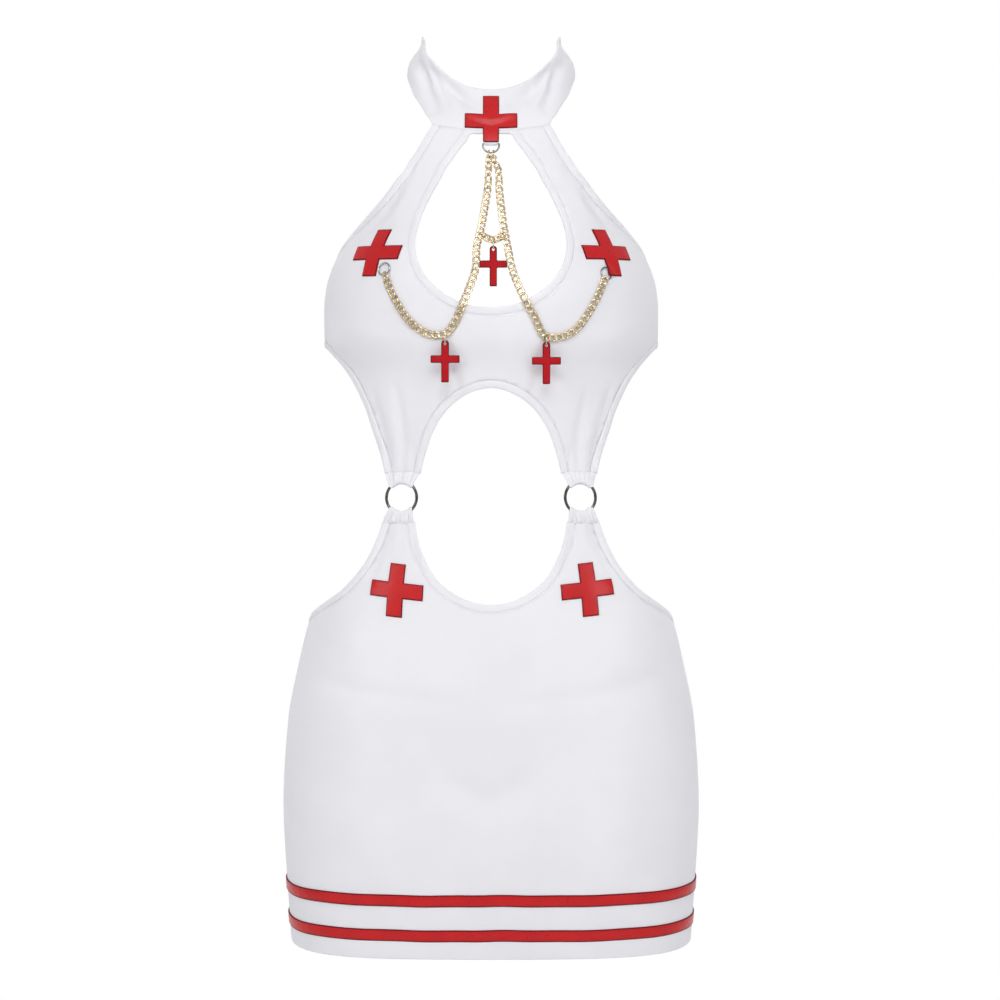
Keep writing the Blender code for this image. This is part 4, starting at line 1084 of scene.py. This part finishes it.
def cross(
    node_name, turn, height, lean=0, upright=0, wide=1, high=1, span=CROSS_SPAN, base=CLOTH_HALF + 0.06,
    sag=0, lilt=0,
):
    """Vinyl cross laid on the cloth, its cut side and the rounded rim beside it painted dark as shade; its
    level arm sags and its two ends rise again.
    """
    arm, tip = CROSS_ARM / 2, span / 2
    corners = cross_corners(arm, tip)
    counts = [math.ceil(math.dist(a, b) / 1.6) for a, b in zip(corners, corners[1:] + corners[:1])]
    across, up = axes(outward(turn, height))
    lean, upright = math.radians(lean), math.radians(upright)
    right = wide * (math.cos(lean) * across + math.sin(lean) * up)
    above = high * (math.cos(upright) * up - math.sin(upright) * across)

    def on_cloth(flat):
        x, y = flat[:, :1], flat[:, 1:]
        y = y - sag * (1 - (y / tip) ** 2) + lilt * (x / tip) ** 2
        return spot_of(skin(turn, height) + x * right + y * above)

    rings = [cross_ring(arm - inward, tip - inward, counts) for inward, _, _ in CROSS_RINGS]
    count = len(rings[0])
    grid = np.mgrid[-tip:tip:2.2, -tip:tip:2.2].reshape(2, -1).T
    middle, faces = fill(on_cloth(rings[-1]), on_cloth(grid), apart=1.1)
    spots = np.vstack([*(on_cloth(ring) for ring in rings[:-1]), middle])
    lifts = np.full(len(spots), CROSS_RINGS[-1][1])
    all_faces, choice = [], []
    for k, (_, lift, edge_shaded) in enumerate(CROSS_RINGS[:-1]):
        here, there = k * count, (k + 1) * count
        lifts[here:there] = lift
        for i in range(count):
            beside = (i + 1) % count
            all_faces.append((here + i, here + beside, there + beside, there + i))
        choice += [edge_shaded] * count
    all_faces += list(faces + len(spots) - len(middle))
    choice += [0] * len(faces)
    seam = on_cloth(cross_ring(arm - 1.25, tip - 1.25, counts))
    cross_rows.append((seam, base + 1.02 + over_ring(seam), True))
    low = base + over_ring(spots)
    shell(node_name, "vinyl", spots, all_faces, low, low + lifts, choice, slot="red_vinyl")


for name, row in CROSSES.items():
    cross(name, *row)
cross("cross_collar", 0, COLLAR_CROSS_HEIGHT, 0, 0, 0.99, 1.01, COLLAR_CROSS_SPAN, 1.16, sag=2.8, lilt=0.9)


def tape_wander(columns, low):
    """How far a tape strays from its line."""
    return 0.22 * np.sin(np.radians(columns * 7 + low)) + 0.14 * np.sin(np.radians(columns * 17))


# Height above the tape's lower edge and lift over the cloth, and whether the face that starts there is painted
# dark as edge shade.
TAPE = (
    (0.0, 0.05, 1), (0.0, 0.42, 1), (0.16, 0.74, 1), (0.5, 0.9, 1), (0.85, 0.94, 0), (1.7, 1.0, 0),
    (3.0, 1.16, 0), (4.7, 1.24, 0), (6.4, 1.16, 0), (7.7, 1.0, 0), (8.55, 0.94, 1), (8.9, 0.9, 1),
    (9.24, 0.74, 1), (9.4, 0.42, 1), (9.4, 0.05, 1),
)
for name, low in HEM_TAPES.items():
    columns = np.linspace(0, 360, 420, endpoint=False)
    above, lifts, edge_shaded = np.array(TAPE).T
    swell = 1 + 0.16 * np.sin(np.radians(columns * 11 + low)) + 0.1 * np.sin(np.radians(columns * 23))
    heights = low + hem_rise(columns)[:, None] + above + tape_wander(columns, low)[:, None]
    puff = np.where(lifts > 1, (lifts - 1) * swell[:, None] + 1, lifts)
    points = draped(np.broadcast_to(columns[:, None], heights.shape), heights, CLOTH_HALF + 0.04 + puff)
    piece(name, "vinyl", points, tube(points, True), "red_vinyl", choice=np.tile(edge_shaded, len(columns)))


# Wire rings, waist loops and studs

def ring(node_name, centre, facing, flat, wire, sides, slot, body="dress", material=None):
    """Closed round wire along a flat line in the plane square to facing."""
    facing = unit(facing)
    across, up = axes(facing)
    line = centre + flat[:, :1] * across + flat[:, 1:] * up
    out = np.cross(unit(np.roll(line, -1, axis=0) - np.roll(line, 1, axis=0)), facing)
    points = np.stack([line + wire * (math.cos(a) * out + math.sin(a) * facing) for a in angles(sides)], 1)
    piece(node_name, "metal", points, tube(points, True), slot, body, material=material)


def even_loop(corners, pitch):
    """Closed line of points a pitch apart through corners."""
    corners = np.array([*corners, corners[0]], float)
    run = length_along(corners)
    return at_lengths(np.linspace(0, run[-1], max(8, round(run[-1] / pitch)), endpoint=False), run, corners)


def ripple(share, phase):
    """Height of the gathers across a waist loop, from -1 to 1."""
    waves = ((0.5, 9.5, 1), (0.32, 21, 2.1), (0.18, 37, 0.7))
    return sum(size * math.sin(rate * share + shift * phase) for size, rate, shift in waves)


def waist_loop(node_name, side, up_sign, turns, seam, phase):
    """Gathered strip folded round the waist ring and sewn to its tab at both ends."""
    centre = np.array(WAIST_RING_CENTRE) * (side, 1, 1)
    facing = unit(np.array(WAIST_RING_FACING) * (side, 1, 1))
    across, up = axes(facing)
    middle, reach = (turns[0] + turns[1]) / 2, (turns[1] - turns[0]) / 2
    roll, depth = (0.55, 0.8) if up_sign > 0 else (1.0, 1.05)

    def on_wire(part):
        angle = math.radians(LOOP_SPREAD * part)
        radial = math.sin(angle) * across + up_sign * math.cos(angle) * up
        return centre + WAIST_RING_RADIUS * radial, radial

    def on_seam(part, lift):
        turn = side * middle + part * reach
        return place(turn, seam + up_sign * 1.2, lift + float(relief(turn, seam)))

    grid = []
    for share in np.linspace(-1, 1, LOOP_COLUMNS):
        wave = ripple(share, phase)
        line = []
        front, (wire, _) = on_seam(share, -0.32), on_wire(share)
        for t in np.linspace(0, 1, 12):
            leg = front + t * (wire + LOOP_GAP * facing - front)
            swell = math.sin(math.pi * t**0.8) * (0.5 + depth * wave) + roll * min(1, 4.5 * t) * (1 - t)
            line.append(leg + swell * facing)
        for k, a in enumerate(np.radians((105, 125, 150, 180, 210, 235, 255)), 1):
            wire, radial = on_wire(share * (1 - 0.02 * k))
            away = math.cos(a) * radial + math.sin(a) * facing
            line.append(wire + (LOOP_GAP + 0.02 + 0.05 * wave) * away)
        back, (wire, _) = on_seam(0.86 * share, -0.12), on_wire(0.86 * share)
        for t in np.linspace(1, 0, 12):
            leg = back + t * (wire - LOOP_GAP * facing - back)
            line.append(leg - math.sin(math.pi * t) * (0.1 + 0.3 * wave) * facing)
        grid.append(line)
    grid = np.array(grid)
    normal = unit(np.cross(np.gradient(grid, axis=1), np.gradient(grid, axis=0)))
    if np.sum(normal[:, 0] * (grid[:, 0] - grid.mean(axis=1))) < 0:
        normal = -normal
    column = np.arange(LOOP_COLUMNS)
    half = LOOP_HALF * rounded(np.minimum(column, column[::-1]), 1.6, 0.03)[:, None, None]
    strip = two_sided(grid + half * normal, grid - half * normal)
    run = length_along(grid[LOOP_COLUMNS // 2])
    uv = np.stack(np.broadcast_arrays(np.linspace(-7, 7, LOOP_COLUMNS)[:, None], run), -1)
    piece(node_name, "cloth", strip, tube(strip), uv=two_sided(uv, uv))


for label, side in (("left", -1), ("right", 1)):
    name = f"waist_ring_{label}"
    centre, facing = (np.array(vector) * (side, 1, 1) for vector in (WAIST_RING_CENTRE, WAIST_RING_FACING))
    ring(name, centre, facing, circle(WAIST_RING_RADIUS, 120), WAIST_RING_WIRE, 20, "dark_nickel", name)
    waist_loop(f"loop_upper_{label}", side, 1, UPPER_LOOP_TURNS, UPPER_LOOP_SEAM, 1.3 * side + 0.4)
    waist_loop(f"loop_lower_{label}", side, -1, LOWER_LOOP_TURNS, LOWER_LOOP_SEAM, 2.2 * side + 1.1)

d_centre = place(0, D_RING_HEIGHT, D_RING_LIFT)
d_facing = outward(0, D_RING_HEIGHT)
d_across, d_up = axes(d_facing)
d_half = D_RING_WIDTH / 2
bow = [(d_half * math.cos(a), d_half * math.sin(a)) for a in np.radians(np.arange(180, 361, 5))]
# The D's corner, in from its side and down from its bar
CORNER = ((0, 1.2), (0.1, 0.7), (0.35, 0.35), (0.7, 0.1), (1.2, 0))
corner = [(d_half - inward, D_RING_BAR - down) for inward, down in CORNER]
d_path = even_loop([*bow, *corner, *[(-x, z) for x, z in reversed(corner)]], 0.5)
ring("d_ring", d_centre, d_facing, d_path, D_RING_WIRE, 14, "silver", material=DULL_SILVER)

# Its tab: a strip folded over the bar, as (up, out) from the bar
line = [(7.3 - 6.7 * t, 0.75 + 0.62 * t) for t in np.linspace(0, 1, 9)]
line += [(1.4 * math.cos(a), 1.4 * math.sin(a)) for a in np.radians(range(80, 281, 16))]
line += [(0.6 + 6.7 * t, -1.37 + 0.62 * t) for t in np.linspace(0, 1, 9)]
line = np.array(line)
square_to_line = unit(np.gradient(line, axis=0))[:, ::-1] * (-1, 1)
tab = []
for share in np.linspace(-1, 1, 25):
    half = 0.38 * rounded(1 - abs(share), 0.12, 0.05) * square_to_line
    section = np.vstack([line + half, (line - half)[::-1]])
    middle = d_centre + D_RING_BAR * d_up + share * D_RING_TAB / 2 * d_across
    tab.append(middle + section[:, :1] * d_up + section[:, 1:] * d_facing)
tab = np.array(tab)
piece("d_ring_tab", "cloth", tab, tube(tab), uv=tab[..., ::2])

for name, (turn, height, lift) in BUST_RINGS.items():
    centre, facing = draped(turn, height, lift), outward(turn, height)
    ring(name, centre, facing, circle(BUST_RING_RADIUS, 72), BUST_RING_WIRE, 14, "silver")

# Radius and rise of a pressed stud with a rim and a low dome
STUD_PROFILE = (
    (0.02, -0.25), (4.1, -0.25), (4.45, -0.1), (4.5, 0.15), (4.38, 0.4), (4.1, 0.56), (3.8, 0.6),
    (3.55, 0.52), (3.3, 0.5), (2.9, 0.72), (2.2, 0.98), (1.3, 1.12), (0.5, 1.16), (0.02, 1.17),
)
outside_flap = COLLAR_PART + COLLAR_HALF + 0.3
for number, height in enumerate(STUD_HEIGHTS, 1):
    for kind, way in (("cap", 1), ("back", -1)):
        axis = way * outward(180, height)
        across, up = axes(axis)
        centre = place(180, height, way * outside_flap)
        flat = circle(1, 56)
        spokes = flat[:, :1] * across + flat[:, 1:] * up
        points = np.array([centre + radius * spokes + rise * axis for radius, rise in STUD_PROFILE])
        piece(f"stud_{kind}_{number}", "metal", points, tube(points), "silver")


# Chains of curb links

def link(centre, along, normal, roll):
    """Points (rows, corners, 3) of one twisted oval link."""
    sideways = np.cross(normal, along)
    normal, sideways = (
        math.cos(roll) * normal + math.sin(roll) * sideways,
        math.cos(roll) * sideways - math.sin(roll) * normal,
    )
    turn = angles(30)
    oval = LINK_LENGTH * np.cos(turn)[:, None] * along + LINK_WIDTH * np.sin(turn)[:, None] * sideways
    line = centre + oval + LINK_TWIST * np.sin(2 * turn)[:, None] * normal
    tangent = unit(np.roll(line, -1, axis=0) - np.roll(line, 1, axis=0))
    out = unit(line - centre - np.sum((line - centre) * tangent, axis=1, keepdims=True) * tangent)
    third = np.cross(tangent, out)
    wide, thick = LINK_WIRE
    return np.stack([line + wide * math.cos(a) * out + thick * math.sin(a) * third for a in angles(9)], 1)


def chain(node_name, first=None, last=None):
    """Curb chain along its route, its end links turned to hold the rings; its middle line is returned."""
    turn, height, lift = np.array(CHAINS[node_name], float).T
    laid = place(turn, height, lift - CHAIN_SINK)
    if first is not None:
        laid = np.vstack([first, laid[1:-1], last])
    else:
        laid = np.vstack([place(*CENTRE_CHAIN_ENDS[0]), laid, place(*CENTRE_CHAIN_ENDS[1])])
    line = np.vstack([*curve(laid, length_along(laid), lambda length: 24, 0, len(laid) - 1), laid[-1:]])
    run = length_along(line)
    count = max(2, round((run[-1] - 2 * (LINK_LENGTH - LINK_WIRE[0])) / LINK_PITCH) + 1)
    pitch = (run[-1] - 2 * LINK_LENGTH) / (count - 1)
    grids = []
    for k in range(count):
        at = LINK_LENGTH + k * pitch
        centre, before_it, behind_it = at_lengths([at, at - 1.5, at + 1.5], run, line)
        along = unit(behind_it - before_it)
        normal = outward(*spot_of(centre))
        normal = unit(normal - (normal @ along) * along)
        roll = rng.uniform(-0.1, 0.1)
        if first is not None and 0 < k < 6:
            roll += (-1) ** k * math.radians(48 - 6 * k)
        elif first is not None and k == 0:
            roll = math.radians(86)
        elif first is not None and k == count - 1:
            roll = math.radians(24)
        grids.append(link(centre + rng.uniform(-0.12, 0.12) * normal, along, normal, roll))
    piece(node_name, "links", *tubes(grids, True), "gold")
    return line


for label, side in (("left", -1), ("right", 1)):
    name = f"chain_{label}"
    bottom = np.radians(270 + side * 17)
    hold = d_centre + d_half * (math.cos(bottom) * d_across + math.sin(bottom) * d_up)
    first = np.array([hold + 1.3 * d_up, hold - 4.2 * d_up + 1.2 * d_facing])
    turn, height, lift = BUST_RINGS[f"bust_ring_{label}"]
    ring_centre = place(turn, height, lift)
    toward = unit(place(*CHAINS[name][-2][:2], 1.75) - ring_centre)
    last = ring_centre + (BUST_RING_RADIUS - 1.2) * toward + 1.6 * outward(turn, height)
    chain(name, first, last)
chain("chain_centre")


# Pendants: a cut plate and the oval link that it hangs on

def pendant_outline(size):
    half = PENDANT_ARM / 2
    top = PENDANT_HOLE + 1.9
    foot = top - PENDANT_LENGTH
    bar = top - PENDANT_BAR_BELOW_TOP
    tip = PENDANT_WIDTH / 2
    right = [(half, foot), (half, bar - half), (tip, bar - half), (tip, bar + half), (half, bar + half)]
    round_top = np.radians(range(0, 181, 9))
    crown = [(half * math.cos(a), top - half + half * math.sin(a)) for a in round_top]
    return [(x * size, z * size) for x, z in right + crown + [(-x, z) for x, z in reversed(right)]]


def plate(node_name, centre):
    """Acrylic cross with a drilled hole, its edges chamfered and painted dark as shade."""
    size = 1 if node_name == "pendant_centre" else SIDE_PENDANT_SIZE
    outline = pendant_outline(size)
    hole, around = (circle(PENDANT_HOLE * size + wider, HOLE_SIDES) for wider in (0, PENDANT_HOLE_RIM))
    rings = [list(range(len(outline))), list(range(len(outline), len(outline) + HOLE_SIDES))]
    corners, faces = triangulated([*outline, *hole, *around], [], rings, WITH_HOLES)
    everything, rim = thickened(faces, len(corners))
    front = centre + np.insert(corners, 1, -PENDANT_THICK / 2, axis=1)
    points = np.vstack([front, front + (0, PENDANT_THICK, 0)])
    choice = [0] * 2 * len(faces) + [1] * rim
    made = piece(node_name, "plate", points, everything, "red_acrylic", node_name, choice)
    made.data.shade_flat()
    bevel = made.modifiers.new("Bevel", "BEVEL")
    bevel.width = CHAMFER * MM
    bevel.segments = 3
    bevel.use_clamp_overlap = False
    bevel.limit_method = "ANGLE"
    bevel.angle_limit = math.radians(50)
    # The chamfers take the edge material, painted dark as shade
    bevel.material = 1


for name, spot in PENDANTS.items():
    hung_at = place(*spot)
    centre = hung_at - (0, 0, JUMP_RING_DROP)
    oval = circle(1, 36) * JUMP_RING
    ring(name.replace("pendant", "jump_ring"), centre, (1, 0, 0), oval, JUMP_RING_WIRE, 12, "gold", name)
    plate(name, hung_at - (0, 0, PENDANT_DROP))


# Stitches along the vinyl and the bindings

# Share of a stitch's length, of its radius, and its rise there: both its ends dive into the cloth.
THREAD = ((0, 0.4, -0.22), (0.14, 1, 0.0), (0.86, 1, 0.0), (1, 0.4, -0.22))


def stitches(name, paths, pitch, length, radius, material, slot):
    """One mesh of short threads along paths of (spots, lift of each spot over the cloth's middle, closed)."""
    threads = []
    hexagon = circle(1, 6)
    for spots, lift, closed in paths:
        lift = np.broadcast_to(lift, len(spots))
        if closed:
            spots = np.vstack([spots, spots[:1] + (360 * round((spots[-1][0] - spots[0][0]) / 360), 0)])
            lift = np.append(lift, lift[0])
        run = length_along(skin(*spots.T))
        count = int(run[-1] / pitch)
        middles = (np.arange(count) + 0.5) * run[-1] / count
        at = np.concatenate([middles - length / 2, middles + length / 2])
        turn, height = at_lengths(at, run, spots).T
        ends = draped(turn, height, np.interp(at, run, lift))
        normals = outward(turn, height)
        for start, finish, normal in zip(ends[:count], ends[count:], normals):
            sideways = np.cross(normal, unit(finish - start))
            spokes = radius * (hexagon[:, :1] * normal + hexagon[:, 1:] * sideways)
            rows = [start + share * (finish - start) + rise * normal for share, _, rise in THREAD]
            threads.append(np.array([row + thick * spokes for row, (_, thick, _) in zip(rows, THREAD)]))
    piece(name, "stitching", *tubes(threads, False), slot, material=material)


tape_rows = []
for low in HEM_TAPES.values():
    columns = np.linspace(0, 360, 720, endpoint=False)
    for above in (1.0, TAPE[-1][0] - 1.0):
        heights = low + hem_rise(columns) + above + tape_wander(columns, low)
        tape_rows.append((np.stack([columns, heights], -1), CLOTH_HALF + 1.02, True))
stitches("tape", tape_rows, 3.1, 2.3, 0.17, RED_THREAD, "red_vinyl")
stitches("cross", cross_rows, 2.6, 1.8, 0.16, RED_THREAD, "red_vinyl")

seams = [clip(inset(edge, BAND + 1.3), limit) for edge, limit in OPEN_EDGES.values()]
seams.append(clip(inset(keyhole, BAND + 1.3, closed=True), below_collar))
seam_rows = [(path[1:-1], CLOTH_HALF - 0.08, False) for path in seams]
stitches("seam", seam_rows, 2.6, 2.0, 0.15, WHITE_THREAD, "white_knit")


# Pieces looked up by their names

def named(names):
    return [pieces[name] for name in names.split()]


# Camera, floor and light

def camera_sees(tree, lit, seen):
    """A shader that lights the dress one way and looks another way to the camera."""
    ray = node(tree, "LightPath").outputs["Is Camera Ray"]
    return feed(tree, node(tree, "MixShader"), ray, lit.outputs[0], seen.outputs[0]).outputs[0]


FLOOR_RADIUS = 9
FLOOR_HEIGHT = -0.79
camera = add("Camera", bpy.data.cameras.new("Camera"))
bpy.context.scene.camera = camera
camera.location = (0.0072, -2.65, -0.328)
camera.rotation_euler = (math.pi / 2, 0, 0)
camera.data.lens = 116.34
camera.data.sensor_width = 36
camera.data.clip_start = 0.05
bpy.context.scene.view_settings.view_transform = "Standard"

floor_mesh = bpy.data.meshes.new("Floor")
rim = [(x, y, FLOOR_HEIGHT) for x, y in circle(FLOOR_RADIUS, 120)]
floor_mesh.from_pydata(rim, [], [tuple(range(len(rim)))])
floor_made, tree, shader = new_material("Pale_floor", Roughness=0.9, Base_Color=(0.8, 0.8, 0.8, 1))
seen = camera_sees(tree, shader, node(tree, "Emission"))
feed(tree, tree.nodes["Material Output"], Surface=seen)
floor_mesh.materials.append(floor_made)
add("Floor", floor_mesh)

world = bpy.data.worlds.new("Studio")
bpy.context.scene.world = world
world.use_nodes = True
tree = world.node_tree
tree.nodes.clear()
direction = feed(tree, node(tree, "SeparateXYZ"), node(tree, "TexCoord").outputs["Generated"])
strength = ranged(tree, direction.outputs[2], -0.1, 0.8, 0.17, 0.66)
lit = feed(tree, node(tree, "Background"), Color=(0.97, 0.975, 1.0, 1), Strength=strength)
seen = feed(tree, node(tree, "Background"), Color=(1, 1, 1, 1), Strength=1.0)
feed(tree, node(tree, "OutputWorld"), Surface=camera_sees(tree, lit, seen))


def softbox(name, place_at, aim, size, watts):
    data = bpy.data.lights.new(name, "AREA")
    data.shape = "RECTANGLE"
    data.size, data.size_y = size
    data.energy = watts
    made = add(name, data)
    made.location = place_at
    made.rotation_mode = "QUATERNION"
    made.rotation_quaternion = (Vector(aim) - Vector(place_at)).to_track_quat("-Z", "Y")


for name, side, share in (("Front", -1, 1.0), ("Back", 1, 0.85)):
    softbox(name + "_key", (0, 2.2 * side, 1.25), (0, 0, -0.35), (1.6, 0.8), 25.7 * share)
    softbox(name + "_left", (-1.7, 1.8 * side, 0.4), (0, 0, -0.15), (0.6, 1.2), 10.6 * share)
    softbox(name + "_right", (1.7, 1.8 * side, 0.4), (0, 0, -0.15), (0.6, 1.2), 10.6 * share)
